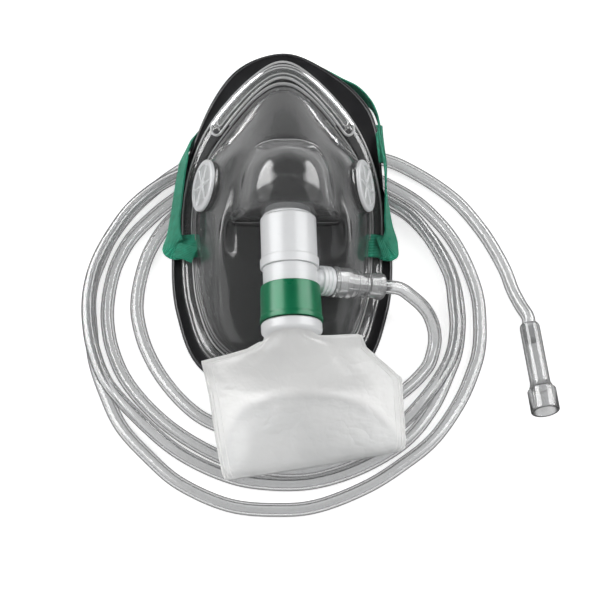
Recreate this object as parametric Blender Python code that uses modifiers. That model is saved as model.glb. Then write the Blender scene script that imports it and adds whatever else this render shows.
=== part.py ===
"""Non-rebreathing oxygen face mask: clear shell on a black liner, tee, reservoir bag, strap and looped tube.

Sizes are in millimetres and are turned into metres where a mesh or a curve is made.
The mask frame has X across the face, Y from the chin to the nose bridge and Z out of the face.
The whole mask lies on its back on a floor at Z = 0, its nose end lifted over the loops of its own tube.
"""

from math import cos, pi, radians, sin

import bmesh
import bpy
from mathutils import Euler, Matrix, Vector
from mathutils.bvhtree import BVHTree

MM = 0.001
GAP = 0.3
ORIGIN_X = 0.0
ORIGIN_Y = -3.1

# The shell and the liner
MASK_WIDTH = 85.4
MASK_LENGTH = 150.0
MASK_DEPTH = 59.0
SHELL_WALL = 1.2
LINER_WALL = 1.0
FLANGE_GAP = 0.3
WALL_GAP = 1.6
NOSE_LEAN = 0.056
LIE_PITCH = 8.2
LIE_Y = 4.0

# Places on the mask, at the size the cage is drawn
CAGE_SIZE = (85.4, 151.0, 59.0)
PORT_PLACE = (0.5, 5.0, 40.0)
VENT_PLACE = (31.8, 26.5, 18.0)
SLOT_PLACE = (36.0, 4.2, 5.0)
SLOT_REACH = 16.0
SLOT_PLAY = 1.2
SLOT_HEIGHT = 3.6
LINER_RELIEF = 1.8
LINER_CUT = 15.0
CLIP_STATIONS = 2
CLIP_WIDTH = 4.6
CLIP_THICK = 0.6

# The vents in the cheeks
BOSS_RADIUS = 12.0
BOSS_DEEP = 2.2
BOSS_HIGH = 0.8
VENT_HOLES = 6
VENT_HOLE = 1.8
VENT_HOLE_CIRCLE = 6.0
PEG_RADIUS = 0.9
FLAP_RADIUS = 9.2
FLAP_THICK = 0.6
GUARD_RADIUS = 11.8
GUARD_ROUND = 0.5
GUARD_BORE = 8.6
GUARD_PLATE = 1.2
GUARD_SPOKES = 6
SPOKE_WIDTH = 1.6
SPOKE_DROP = 0.3
HUB_RADIUS = 2.2

# The tee, from the port down to the bag; heights run down its axis
TEE_YAW = 1.9
TEE_RADIUS = 11.2
TEE_BORE = 9.0
TEE_SHORT = 1.0
SPIGOT_RADIUS = 9.6
SPIGOT_LENGTH = 7.0
SLEEVE_WALL = 1.4
SLEEVE_STEP = 0.6
SLEEVE_LENGTH = 21.9
SLEEVE_BORE = 7.6
RING_BAND = 3.4
SOCKET_RADIUS = TEE_RADIUS - 0.4
SOCKET_TOP = -6.5
DISC_RADIUS = 9.5
DISC_THICK = 0.5
SEAT_THICK = 1.6
SEAT_BORE = 8.4
COLLAR_TOP = 29.8
COLLAR_END = 45.3
COLLAR_WALL = 0.8
COLLAR_FLARE = 0.7
COLLAR_LIP = 1.6
BAG_RING_RADIUS = 12.6
RING_END = 50.4

# The side arm and the swivel on it; lengths run out from the tee's axis
ARM_S = 25.9
ARM_DROP = 24.0
ARM_NECK = 3.6
ARM_STUB = 6.2
STUB_RIBS = 3
RIB_DEEP = 0.5
ARM_START = 13.4
ARM_END = 18.6
ARM_NIPPLE = 3.2
ARM_BORE = 2.0
ARM_NIPPLE_END = 25.0
SWIVEL_BODY = 6.4
SWIVEL_STEP = 27.0
SWIVEL_NECK = 5.6
SWIVEL_END = 35.0
BARB_RADIUS = 2.7
BARB_END = 39.5
CUFF_RADIUS = 5.6
CUFF_BEAD = 3.2
CUFF_END = 42.2
SPIN_GAP = 0.25

# The tube, its far connector, the strap and the bag
TUBE_RADIUS = 2.9
TUBE_POINTS = 85
TUBE_TURN_WEIGHT = 25.0
TUBE_STRAIGHT = 8.0
TUBE_START = 0.45
TUBE_STEPS = 8
TUBE_BORE = TUBE_RADIUS + GAP
CONNECTOR_START = (105.3, -25.1, 5.6)
CONNECTOR_END = (110.7, -65.3, 6.35)
CONNECTOR_RADIUS = 6.15
CONNECTOR_BODY = 4.7
CONNECTOR_CUFF = 10.6
CONNECTOR_BORE = 4.8
CONNECTOR_DEEP = 20.0
STRAP_WIDTH = 11.0
STRAP_THICK = 0.9
STRAP_STEPS = 2
BAG_NECK_RADIUS = 10.6
BAG_AROUND = 20
BAG_SEAM = 0.4
BAG_DRAWN_NECK = (4.4, -46.8, 43.5)
BAG_STEPS = 2

TURN_STEPS = 32
SMALL_STEPS = 24
ROD_SIDES = 24
SMALL_ROD = 3.0
COLUMN_STEPS = 2
ROW_STEPS = 2
SIDES = ((-1, "left"), (1, "right"))

# Half outlines from the nose bridge to the chin, one row for each level from the rim to the nose tip
CAGE = (
    ((0, 91, 2.0), (14, 83, 1.8), (29.5, 65, 1.2), (38.5, 46, 0.6), (42.7, 25, 0.1),
     (42.7, 3, 0), (40, -23, 0.3), (29.5, -46.5, 0.9), (0, -60, 1.4)),
    ((0, 78, 5), (10.5, 73, 4.6), (24, 57, 3.4), (33.6, 41, 2.4), (38.3, 23.5, 1.8),
     (38.3, 3, 1.6), (35.7, -21.5, 2), (25.8, -42.5, 3), (0, -54.5, 3.6)),
    ((0, 73, 10), (9.5, 68.5, 10.5), (21.5, 54, 11), (33, 39.5, 10.5), (35.8, 23, 10),
     (35.8, 2, 9.5), (33, -20, 9), (23.5, -39.5, 8.5), (0, -51, 8)),
    ((0, 65, 17), (9, 61, 18), (19.8, 50, 19), (30.6, 37.6, 18.5), (32.9, 22, 18.5),
     (32.8, 1, 17), (30, -19, 14.5), (21.5, -35, 12.5), (0, -44, 11)),
    ((0, 55, 25), (8.5, 52, 26), (18, 44, 27.5), (26.6, 34.3, 28), (28.8, 19, 28),
     (29.3, 0, 25), (27, -16, 19.5), (19.5, -27, 16.5), (0, -33, 15)),
    ((0, 47, 31), (8, 45, 32), (16, 39.5, 33.5), (21.5, 30, 34.5), (25.2, 16, 34),
     (26.3, 2, 29), (23.5, -8, 24.5), (16, -14, 22), (0, -17, 21.5)),
    ((0, 42, 34.5), (7.5, 41, 35.5), (13.8, 36.5, 38), (18.3, 27, 40), (21, 14, 38),
     (22.5, 6.8, 29.5), (20, 6.2, 27), (13, 5.9, 26.5), (0, 5.8, 26.5)),
    ((0, 38.5, 41), (7, 37, 42), (12.5, 32.5, 44.5), (16.5, 24.5, 46), (18.5, 14, 44),
     (19.5, 7.5, 38), (18, 6.2, 37), (11, 5.6, 38), (0, 5.5, 39)),
    ((0, 33, 50.5), (6, 31.5, 50.5), (10.5, 28, 51.5), (13.8, 22, 52), (15.5, 14, 51),
     (15.5, 8.7, 48), (13, 7.0, 49.5), (8, 6.4, 51), (0, 6.2, 51.5)),
    ((0, 26, 56.5), (4.5, 25, 56.5), (7.8, 22.5, 56.5), (9.8, 19, 56.5), (10.5, 15, 56),
     (9.5, 11.7, 55.3), (7.5, 10.5, 55.5), (4.3, 10, 55.8), (0, 9.8, 56)),
)
NOSE_TIP = (0, 18, 59)

# The liner's own wider edge at each of those stations, down the right side and then down the left side
LINER_EDGE = (
    ((0, 94.4), (15.8, 88.8), (33.5, 74.7), (41.0, 58.4), (43.5, 25.3), (46.7, 3.0), (44.4, -24.6),
     (32.8, -50.1), (0, -64.63)),
    ((-18.0, 88.2), (-30.2, 72.5), (-39.6, 47.5), (-43.5, 25.3), (-46.7, 3.0), (-44.4, -24.6), (-32.8, -50.1)),
)

# The bag's left edge, right edge, middle and half thickness, from near its neck to its folded end
BAG_ROWS = (
    ((-7.5, -46.7, 37.0), (16.8, -45.8, 38.0), (4.8, -48.9, 38.0), 9.5),
    ((-14.2, -47.6, 30.0), (33.0, -41.3, 30.0), (6.9, -51.7, 33.0), 8.0),
    ((-23.1, -46.8, 22.0), (35.2, -44.1, 24.0), (7.7, -54.9, 28.0), 7.0),
    ((-33.4, -46.0, 14.0), (44.6, -49.2, 16.0), (8.9, -60.0, 22.0), 6.0),
    ((-31.8, -52.1, 11.4), (50.1, -53.0, 12.6), (10.2, -65.0, 18.0), 5.5),
    ((-30.0, -60.5, 10.0), (50.4, -61.2, 11.2), (10.8, -70.0, 16.0), 5.5),
    ((-28.2, -71.9, 8.8), (51.1, -71.7, 9.6), (11.4, -75.5, 14.5), 5.4),
    ((-26.0, -85.6, 8.2), (51.4, -79.6, 9.0), (12.7, -85.2, 12.5), 4.2),
    ((-24.2, -93.9, 7.6), (51.0, -82.6, 8.4), (13.1, -90.1, 11.5), 2.8),
    ((-22.9, -96.5, 7.4), (49.3, -83.8, 8.0), (13.1, -91.9, 10.5), 1.0),
)

# How the strap is laced at a slot: out from it and up from it, from its cut end to where it leaves the rim
STRAP_LACING = ((10.4, -9.6), (5.0, -10.4), (-0.6, -9.9), (-4.2, -6.7), (-4.4, -2.6), (-1.8, -0.25), (2.0, 0.1), (6.2, -1.1))

# The strap's middle and the direction across its width, from the right slot round the back to the left slot
STRAP_RUN = (
    ((45.6, 6.8, 14.4), (-0.4, 0.9, 0.3)),
    ((46.6, 12.0, 13.8), (-0.5, 0.4, 0.8)),
    ((45.6, 20.0, 15.5), (-0.3, 0, 0.95)),
    ((44.8, 33.0, 17.9), (-0.06, 0, 0.99)),
    ((44.6, 42.0, 18.0), (-0.08, 0, 0.99)),
    ((44.3, 48.5, 17.0), (-0.15, 0, 0.98)),
    ((43.7, 55.0, 15.0), (-0.2, 0, 0.98)),
    ((43.2, 63.0, 11.7), (-0.17, 0, 0.98)),
    ((42.4, 72.0, 8.4), (-0.12, 0, 0.99)),
    ((39.4, 81.8, 6.2), (-0.1, -0.1, 0.99)),
    ((33.5, 88.5, 5.6), (0, 0, 1)),
    ((26.0, 93.0, 5.6), (0, 0, 1)),
    ((15.0, 99.5, 5.6), (0, 0, 1)),
    ((4.0, 103.0, 5.6), (0, 0, 1)),
    ((-8.0, 101.0, 5.6), (0, 0, 1)),
    ((-19.0, 92.0, 5.8), (0, 0, 1)),
    ((-26.0, 82.5, 7.0), (0.1, 0, 0.99)),
    ((-30.2, 74.0, 9.4), (0.1, 0, 0.99)),
    ((-33.6, 67.0, 10.8), (0.1, 0, 0.99)),
    ((-38.2, 61.9, 10.2), (0.12, 0, 0.99)),
    ((-41.2, 56.8, 12.6), (0.22, 0, 0.97)),
    ((-42.5, 51.0, 16.2), (0.34, 0, 0.94)),
    ((-43.0, 45.5, 17.6), (0.38, 0, 0.92)),
    ((-44.0, 38.5, 17.6), (0.4, 0, 0.92)),
    ((-45.2, 28.0, 16.0), (0.42, 0, 0.91)),
    ((-46.4, 17.0, 14.2), (0.5, 0.2, 0.85)),
    ((-46.4, 8.0, 14.4), (0.6, 0.75, 0.3)),
)

# The tube's own points between its straight ends, down to the floor, round four loops and out again
TUBE_ROUTE = (
    (54.5, -19.5, 22.5), (60, -22, 16.5), (63.5, -25.5, 10.5), (65, -31, 6), (64, -37.5, 3.5), (61, -44.5, 3), (51.5, -54.5, 3), (33, -68, 3), (16, -75, 3),
    (-8, -76.5, 3), (-28.5, -69.5, 3), (-39.5, -62, 3), (-50, -49.5, 3), (-57.5, -35.5, 3),
    (-61.5, -21.5, 3), (-62, -10.5, 3), (-60, 2, 3), (-57, 11.5, 3), (-51, 22.5, 3), (-42, 32.5, 3),
    (-32, 39, 3), (-17, 44, 3), (0, 46, 3), (18, 44, 5.5), (33, 40, 8), (46, 32.5, 9), (55.5, 25.5, 9),
    (63, 15.5, 9), (69, 4, 9), (72.5, -6, 9), (73.5, -17, 9), (74, -27, 9), (72.5, -38, 9),
    (68.5, -47.5, 8.5), (59.5, -61, 8), (48.5, -72, 5.5), (33, -82.5, 3), (12, -90, 3), (-9, -89.5, 3),
    (-25.5, -84.5, 3), (-42.5, -74.5, 3), (-55.5, -63, 3), (-66, -49.5, 3), (-72, -35.5, 3),
    (-74.5, -22.5, 3), (-74.5, -12, 3), (-73, -1.5, 3), (-70.5, 7, 3), (-65.5, 17, 3), (-58, 26, 3),
    (-48.5, 35, 3), (-36, 44, 3), (-18, 50.5, 3), (0, 52.5, 3), (18, 50.5, 3), (33, 43, 3), (47, 34, 3),
    (56, 27.5, 3), (64, 17.5, 3), (70.5, 6, 3), (74, -5, 3), (75.5, -16, 3), (75.5, -25.5, 3),
    (74, -36.5, 3), (70.5, -46.5, 3), (63.5, -62, 3), (51.5, -77.5, 3), (32.5, -89.5, 3), (12, -96, 3),
    (-9, -96, 3), (-25, -92, 3), (-43, -83, 4.5), (-58.5, -70.5, 8), (-73, -54, 9), (-79.5, -38.5, 9),
    (-82, -25.5, 9), (-82.5, -15, 9), (-81.5, -5.5, 9), (-79, 4, 9), (-74, 15, 9), (-66, 28, 9),
    (-56, 38, 9), (-46, 44.5, 9), (-33.5, 50, 8), (-18, 57, 4), (0, 59, 3), (18, 57, 3), (33, 50, 3),
    (46.5, 43, 3), (58.5, 35, 3), (67.5, 25.5, 3), (73.5, 17, 3), (78.5, 7, 3), (82, -3, 3), (84, -12, 3),
    (84.5, -22.5, 3), (84, -33.5, 3), (81.5, -44, 3), (75, -59.5, 3), (64, -76, 3), (51.5, -87, 3),
    (36, -97.5, 3), (16, -106, 3), (-0.5, -108, 3), (-21.5, -106, 3), (-42, -96.5, 3), (-55.5, -84.5, 3),
    (-67.5, -70.5, 3), (-75, -54, 3), (-79.5, -40, 3), (-81.5, -25.5, 3), (-82.5, -14, 3),
    (-81.5, -3.5, 3), (-78.5, 6.5, 3), (-74, 18, 3), (-65.5, 31, 3), (-55.5, 41.5, 3), (-46, 49.5, 3),
    (-34, 57, 3), (-18, 64, 3), (0, 66.5, 3), (18, 64.5, 3), (33, 59, 3), (47, 55, 3), (56, 50.5, 3),
    (67, 43, 3), (77, 34, 3), (85.5, 22.5, 3), (91, 13, 3), (96, 2, 3), (99, -7.5, 3), (102, -15, 4),
)

STRETCH = Vector((MASK_WIDTH / CAGE_SIZE[0], MASK_LENGTH / CAGE_SIZE[1], MASK_DEPTH / CAGE_SIZE[2]))


def clear_scene():
    for old in list(bpy.data.objects):
        bpy.data.objects.remove(old)


def collection(name):
    made = bpy.data.collections.new(name)
    bpy.context.scene.collection.children.link(made)
    return made


def material(name, colour, roughness, metallic=0.0, alpha=1.0):
    made = bpy.data.materials.new(name)
    made.use_nodes = True
    shader = made.node_tree.nodes["Principled BSDF"]
    shader.inputs["Base Color"].default_value = (*colour, 1.0)
    shader.inputs["Roughness"].default_value = roughness
    shader.inputs["Metallic"].default_value = metallic
    shader.inputs["Alpha"].default_value = alpha
    return made


def empty(name, parent, location, rotation=(0, 0, 0)):
    made = bpy.data.objects.new(name, None)
    made.parent = parent
    made.location = Vector(location) * MM
    made.rotation_euler = rotation
    PARTS.objects.link(made)
    return made


def add_object(name, data, finish, parent=None, frame=None):
    made = bpy.data.objects.new(name, data)
    if finish is not None:
        data.materials.append(finish)
    made.parent = parent
    if frame is not None:
        made.matrix_basis = frame
    PARTS.objects.link(made)
    return made


def as_tool(made):
    """Turn an object into a cutter or a piece for a union, which is no part by itself."""
    PARTS.objects.unlink(made)
    TOOLS.objects.link(made)
    made.hide_render = True
    made.display_type = "WIRE"
    return made


def boolean(target, operation, tool):
    cut = target.modifiers.new(tool.name, "BOOLEAN")
    cut.operation = operation
    cut.object = tool


def in_metres(matrix):
    """A placing matrix in millimetres as Blender wants it, in metres."""
    moved = matrix.copy()
    moved.translation = matrix.translation * MM
    return moved


def mesh_of(name, bm, smooth=True):
    bmesh.ops.scale(bm, vec=(MM, MM, MM), verts=bm.verts)
    data = bpy.data.meshes.new(name)
    bm.to_mesh(data)
    bm.free()
    if smooth:
        data.shade_smooth()
        data.set_sharp_from_angle(angle=radians(40))
    return data


def rods(name, places):
    """Closed cylinders, each given by its frame, radius, and lowest and highest point along the frame's Z."""
    bm = bmesh.new()
    for frame, radius, low, high in places:
        sides = ROD_SIDES if radius > SMALL_ROD else ROD_SIDES // 2
        bmesh.ops.create_cone(bm, cap_ends=True, segments=sides, radius1=radius, radius2=radius,
                              depth=high - low, matrix=frame @ Matrix.Translation((0, 0, (low + high) / 2)))
    return mesh_of(name, bm)


def block(name, places):
    """Closed boxes, each given by its frame and its size along the frame's axes."""
    bm = bmesh.new()
    for frame, size in places:
        bmesh.ops.create_cube(bm, size=1, matrix=frame @ Matrix.Diagonal((*size, 1)))
    return mesh_of(name, bm, smooth=False)


def turned(name, profile, finish, parent=None, frame=None, steps=TURN_STEPS):
    """A profile of (radius, height) down its outer side and back up its bore, turned about Z."""
    count = len(profile)
    hollow = all(radius > 0 for radius, height in profile)
    edges = [(i, (i + 1) % count) for i in range(count if hollow else count - 1)]
    data = bpy.data.meshes.new(name)
    data.from_pydata([(radius * MM, 0, height * MM) for radius, height in profile], edges, [])
    made = add_object(name, data, finish, parent, frame)
    screw = made.modifiers.new("Turn", "SCREW")
    screw.steps = steps
    screw.render_steps = steps
    screw.use_merge_vertices = True
    screw.merge_threshold = 0.00001
    return made


def through(points, pieces, closed=False):
    """A smooth line through the points, with that many pieces between each two of them."""
    points = [Vector(p) for p in points]
    count = len(points)
    if closed:
        around = [points[-1], *points, points[0], points[1]]
        spans = count
    else:
        around = [2 * points[0] - points[1], *points, 2 * points[-1] - points[-2]]
        spans = count - 1
    line = []
    for i in range(spans):
        a, b, c, d = around[i:i + 4]
        for k in range(pieces):
            t = k / pieces
            line.append((2 * b + (c - a) * t + (2 * a - 5 * b + 4 * c - d) * t ** 2
                         + (3 * b - a - 3 * c + d) * t ** 3) / 2)
    if not closed:
        line.append(points[-1])
    return line


def evenly(line, count):
    """The line again with that many points, closer together where it bends."""
    reach = [0.0]
    for i, (a, b) in enumerate(zip(line, line[1:])):
        turn = (b - a).angle(a - line[i - 1]) if i else 0.0
        reach.append(reach[-1] + (b - a).length + TUBE_TURN_WEIGHT * turn)
    spaced = []
    at = 0
    for k in range(count):
        wanted = reach[-1] * k / (count - 1)
        while at < len(line) - 2 and reach[at + 1] < wanted:
            at += 1
        share = (wanted - reach[at]) / (reach[at + 1] - reach[at])
        spaced.append(line[at].lerp(line[at + 1], min(share, 1.0)))
    return spaced


def on_mask(x, y, z):
    """A point drawn at the cage's own size, moved to the mask's size, with the soft nose leaning over."""
    return Vector((x * STRETCH.x + NOSE_LEAN * z * STRETCH.z, y * STRETCH.y, z * STRETCH.z))


def whole_ring(half):
    """A half outline and its mirror image, from the nose bridge right round."""
    return list(half) + [(-x, y, z) for x, y, z in reversed(half[1:-1])]


def shell_rings(with_flange=False):
    """The outer skin's rings from the rim to the nose tip, with the liner's wider edge first if asked."""
    levels = [[on_mask(*p) for p in whole_ring(half)] for half in CAGE]
    right, left = LINER_EDGE
    edge = right + tuple(reversed(left))
    levels.insert(0, [on_mask(x, y, rim[2]) for (x, y), rim in zip(edge, whole_ring(CAGE[0]))])
    levels = [through(level, COLUMN_STEPS, closed=True) for level in levels]
    tip = on_mask(*NOSE_TIP)
    columns = [through([level[j] for level in levels] + [tip], ROW_STEPS) for j in range(len(levels[0]))]
    rows = [[column[i] for column in columns] for i in range(len(columns[0]) - 1)]
    return (rows if with_flange else rows[ROW_STEPS:]), tip


def skin(rows, tip):
    """An open mesh through the rings, closed to a point at the nose tip."""
    bm = bmesh.new()
    rings = [[bm.verts.new(p) for p in row] for row in rows]
    for low, high in zip(rings, rings[1:]):
        for j in range(len(low)):
            k = (j + 1) % len(low)
            bm.faces.new((low[j], high[j], high[k], low[k]))
    top = bm.verts.new(tip)
    last = rings[-1]
    for j in range(len(last)):
        bm.faces.new((last[j], top, last[(j + 1) % len(last)]))
    bm.normal_update()
    return bm, rings


def wall_frame(side):
    """Where a vent sits on the side wall: Z out of the wall, Y towards the nose bridge."""
    rows, tip = shell_rings()
    bm, rings = skin(rows, tip)
    x, y, z = VENT_PLACE
    point, normal, index, distance = BVHTree.FromBMesh(bm).find_nearest(on_mask(side * x, y, z))
    bm.free()
    across = Vector((0, 1, 0)).cross(normal).normalized()
    frame = Matrix((across, normal.cross(across), normal)).transposed().to_4x4()
    frame.translation = point
    return frame


def thicken(made, wall):
    solid = made.modifiers.new("Wall", "SOLIDIFY")
    solid.thickness = wall * MM
    solid.offset = -1


def slot_cutter(name):
    places = []
    for side in (-1, 1):
        x, y, z = SLOT_PLACE
        middle = on_mask(side * x, y, z)
        places.append((Matrix.Translation(middle), (SLOT_REACH, STRAP_WIDTH + 2 * SLOT_PLAY, SLOT_HEIGHT)))
    return as_tool(add_object(name, block(name, places), None, MASK))


def mask_shell(finish):
    rows, tip = shell_rings()
    bm, rings = skin(rows, tip)
    made = add_object("mask_shell", mesh_of("mask_shell", bm), finish, MASK)
    thicken(made, SHELL_WALL)
    for side, word in SIDES:
        seat = [(VENTS[side], BOSS_RADIUS, -BOSS_DEEP, BOSS_HIGH)]
        boolean(made, "UNION", as_tool(add_object("boss_" + word, rods("boss", seat), None, MASK)))
    holes = []
    for side, word in SIDES:
        for k in range(VENT_HOLES):
            spin = Matrix.Rotation(2 * pi * k / VENT_HOLES, 4, "Z")
            place = VENTS[side] @ spin @ Matrix.Translation((VENT_HOLE_CIRCLE, 0, 0))
            holes.append((place, VENT_HOLE, -BOSS_DEEP - 2, BOSS_HIGH + 2))
        holes.append((VENTS[side], PEG_RADIUS + GAP, -BOSS_DEEP - 2, BOSS_HIGH + 2))
    holes.append((TEE_FRAME, SPIGOT_RADIUS + GAP, -3, SPIGOT_LENGTH))
    boolean(made, "DIFFERENCE", as_tool(add_object("shell_holes", rods("shell_holes", holes), None, MASK)))
    boolean(made, "DIFFERENCE", slot_cutter("shell_slots"))
    return made


def face_liner(finish):
    """The soft black liner: the shell's own form, moved in by a clearance, with a wider edge all round."""
    rows, tip = shell_rings(with_flange=True)
    bm, rings = skin(rows, tip)
    flange_inset = SHELL_WALL + FLANGE_GAP
    flange_rows = 2 * ROW_STEPS
    inward = {}
    for i, ring in enumerate(rings):
        share = min(max((i - flange_rows) / ROW_STEPS, 0), 1)
        for vert in ring:
            inward[vert] = flange_inset + (WALL_GAP + SHELL_WALL - flange_inset) * share
    normals = {vert: vert.normal.copy() for vert in bm.verts}
    for vert in bm.verts:
        vert.co -= normals[vert] * inward.get(vert, WALL_GAP + SHELL_WALL)
    made = add_object("face_liner", mesh_of("face_liner", bm), finish, MASK)
    thicken(made, LINER_WALL)
    holes = [(VENTS[side], VENT_HOLE_CIRCLE + VENT_HOLE + LINER_RELIEF, -12, 2) for side, word in SIDES]
    holes.append((TEE_FRAME, SPIGOT_RADIUS + LINER_RELIEF, 0, LINER_CUT))
    boolean(made, "DIFFERENCE", as_tool(add_object("liner_holes", rods("liner_holes", holes), None, MASK)))
    boolean(made, "DIFFERENCE", slot_cutter("liner_slots"))
    return made


def nose_clip(finish):
    """A soft metal strip bent over the nose bridge, lying on the shell's flange."""
    rows, tip = shell_rings()
    low, high = rows[0], rows[ROW_STEPS]
    reach = CLIP_STATIONS * COLUMN_STEPS
    bm = bmesh.new()
    loops = []
    for j in range(-reach, reach + 1):
        rim, inner = low[j], high[j]
        along = (low[(j + 1) % len(low)] - low[j - 1]).normalized()
        across = (inner - rim).normalized()
        up = across.cross(along)
        up = (up if up.z > 0 else -up).normalized()
        middle = rim.lerp(inner, 0.5) + up * (GAP + CLIP_THICK / 2)
        wide = across * CLIP_WIDTH / 2
        thick = up * CLIP_THICK / 2
        loops.append([bm.verts.new(middle + p) for p in (wide + thick, thick - wide, -wide - thick, wide - thick)])
    for a, b in zip(loops, loops[1:]):
        for k in range(4):
            bm.faces.new((a[k], a[(k + 1) % 4], b[(k + 1) % 4], b[k]))
    bm.faces.new(loops[0])
    bm.faces.new(reversed(loops[-1]))
    bmesh.ops.recalc_face_normals(bm, faces=bm.faces)
    return add_object("nose_clip", mesh_of("nose_clip", bm), finish, MASK)


def vent(side, word, cover, film):
    frame = in_metres(VENTS[side])
    flap_low = BOSS_HIGH + GAP
    flap_high = flap_low + FLAP_THICK
    turned("vent_flap_" + word, [(FLAP_RADIUS, flap_high), (FLAP_RADIUS, flap_low),
                                 (PEG_RADIUS + GAP, flap_low), (PEG_RADIUS + GAP, flap_high)],
           film, MASK, frame)
    guard_low = flap_high + GAP
    guard_high = guard_low + GUARD_PLATE
    made = turned("vent_guard_" + word,
                  [(GUARD_RADIUS - GUARD_ROUND, guard_high), (GUARD_RADIUS, guard_high - GUARD_ROUND),
                   (GUARD_RADIUS, flap_low), (FLAP_RADIUS + GAP, flap_low),
                   (FLAP_RADIUS + GAP, guard_low), (GUARD_BORE, guard_low), (GUARD_BORE, guard_high)],
                  cover, MASK, frame)
    hub = turned("guard_hub_" + word,
                 [(0, guard_high), (HUB_RADIUS, guard_high), (HUB_RADIUS, guard_low),
                  (PEG_RADIUS, guard_low), (PEG_RADIUS, -BOSS_DEEP), (0, -BOSS_DEEP)],
                 None, MASK, frame)
    boolean(made, "UNION", as_tool(hub))
    for k in range(GUARD_SPOKES // 2):
        spin = Matrix.Rotation(2 * pi * k / GUARD_SPOKES, 4, "Z")
        place = VENTS[side] @ spin @ Matrix.Translation((0, 0, (guard_low + guard_high) / 2))
        size = (2 * GUARD_BORE + 1, SPOKE_WIDTH, GUARD_PLATE - SPOKE_DROP)
        name = f"guard_spoke_{word}_{k}"
        boolean(made, "UNION", as_tool(add_object(name, block(name, [(place, size)]), None, MASK)))


def port_sleeve(finish):
    """The white sleeve that snaps into the shell's port and holds the valve and the tee."""
    ring = SOCKET_RADIUS + SLEEVE_WALL
    body = ring - SLEEVE_STEP
    ring_top = -SLEEVE_LENGTH + RING_BAND
    turned("port_sleeve", [
        (SPIGOT_RADIUS, SPIGOT_LENGTH), (SPIGOT_RADIUS, 0), (body - SLEEVE_STEP, 0), (body, -SLEEVE_STEP),
        (body, ring_top + SLEEVE_STEP), (ring, ring_top), (ring, -SLEEVE_LENGTH),
        (SOCKET_RADIUS, -SLEEVE_LENGTH), (SOCKET_RADIUS, SOCKET_TOP), (SLEEVE_BORE, SOCKET_TOP),
        (SLEEVE_BORE, SPIGOT_LENGTH)], finish, TEE)


def inlet_valve(film, white):
    top = SOCKET_TOP - GAP
    low = top - DISC_THICK
    turned("inlet_valve_disc", [(DISC_RADIUS, top), (DISC_RADIUS, low), (PEG_RADIUS + GAP, low),
                                (PEG_RADIUS + GAP, top)], film, TEE)
    seat_top = low - GAP
    seat_low = seat_top - SEAT_THICK
    seat = turned("valve_seat", [(SOCKET_RADIUS - GAP, seat_top), (SOCKET_RADIUS - GAP, seat_low),
                                 (SEAT_BORE, seat_low), (SEAT_BORE, seat_top)], white, TEE)
    hub = turned("seat_hub", [(0, top), (PEG_RADIUS, top), (PEG_RADIUS, seat_top), (HUB_RADIUS, seat_top),
                              (HUB_RADIUS, seat_low), (0, seat_low)], None, TEE)
    boolean(seat, "UNION", as_tool(hub))
    for k in range(2):
        spin = Matrix.Rotation(pi / 2 * k, 4, "Z")
        place = spin @ Matrix.Translation((0, 0, (seat_top + seat_low) / 2))
        name = f"seat_spoke_{k}"
        bar = block(name, [(place, (2 * SEAT_BORE + 1, SPOKE_WIDTH, SEAT_THICK - SPOKE_DROP))])
        boolean(seat, "UNION", as_tool(add_object(name, bar, None, TEE)))
    return seat_low - GAP


def tee_body(finish, top):
    step = -SLEEVE_LENGTH - GAP
    low = -COLLAR_END + TEE_SHORT
    made = turned("tee_body", [
        (SOCKET_RADIUS - GAP, top), (SOCKET_RADIUS - GAP, step), (TEE_RADIUS, step), (TEE_RADIUS, low),
        (TEE_BORE, low), (TEE_BORE, top)], finish, TEE)
    stub = [(ARM_NECK, TEE_BORE + 1), (ARM_NECK, ARM_START)]
    pitch = (ARM_END - ARM_START) / (2 * STUB_RIBS)
    for k in range(STUB_RIBS):
        rise = ARM_START + 2 * k * pitch
        stub += [(ARM_STUB, rise), (ARM_STUB, rise + pitch), (ARM_STUB - RIB_DEEP, rise + pitch),
                 (ARM_STUB - RIB_DEEP, rise + 2 * pitch)]
    stub += [(ARM_NIPPLE, ARM_END), (ARM_NIPPLE, ARM_NIPPLE_END)]
    outline = [(0, ARM_NIPPLE_END), *reversed(stub), (0, TEE_BORE + 1)]
    boolean(made, "UNION", as_tool(turned("tee_stub", outline, None, ARM, None, SMALL_STEPS)))
    bore = rods("stub_bore", [(Matrix.Identity(4), ARM_BORE, TEE_BORE - 3, ARM_NIPPLE_END + 1)])
    boolean(made, "DIFFERENCE", as_tool(add_object("stub_bore", bore, None, ARM)))


def bag_rings(green, white):
    inner = TEE_RADIUS + GAP
    top, end = -COLLAR_TOP, -COLLAR_END
    turned("bag_collar", [
        (inner + COLLAR_WALL - 0.4, top), (inner + COLLAR_WALL, top - 0.5),
        (inner + COLLAR_WALL + COLLAR_FLARE / 2, end + COLLAR_LIP + 1),
        (inner + COLLAR_WALL + COLLAR_FLARE, end + COLLAR_LIP), (inner + COLLAR_WALL + COLLAR_FLARE, end),
        (inner, end), (inner, top)], green, TEE)
    high, low = end - GAP, -RING_END
    turned("bag_ring", [
        (BAG_RING_RADIUS - 0.6, high), (BAG_RING_RADIUS, high - 0.6), (BAG_RING_RADIUS, low + 0.8),
        (BAG_RING_RADIUS - 0.8, low), (TEE_BORE, low), (TEE_BORE, high)], white, TEE)


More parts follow.
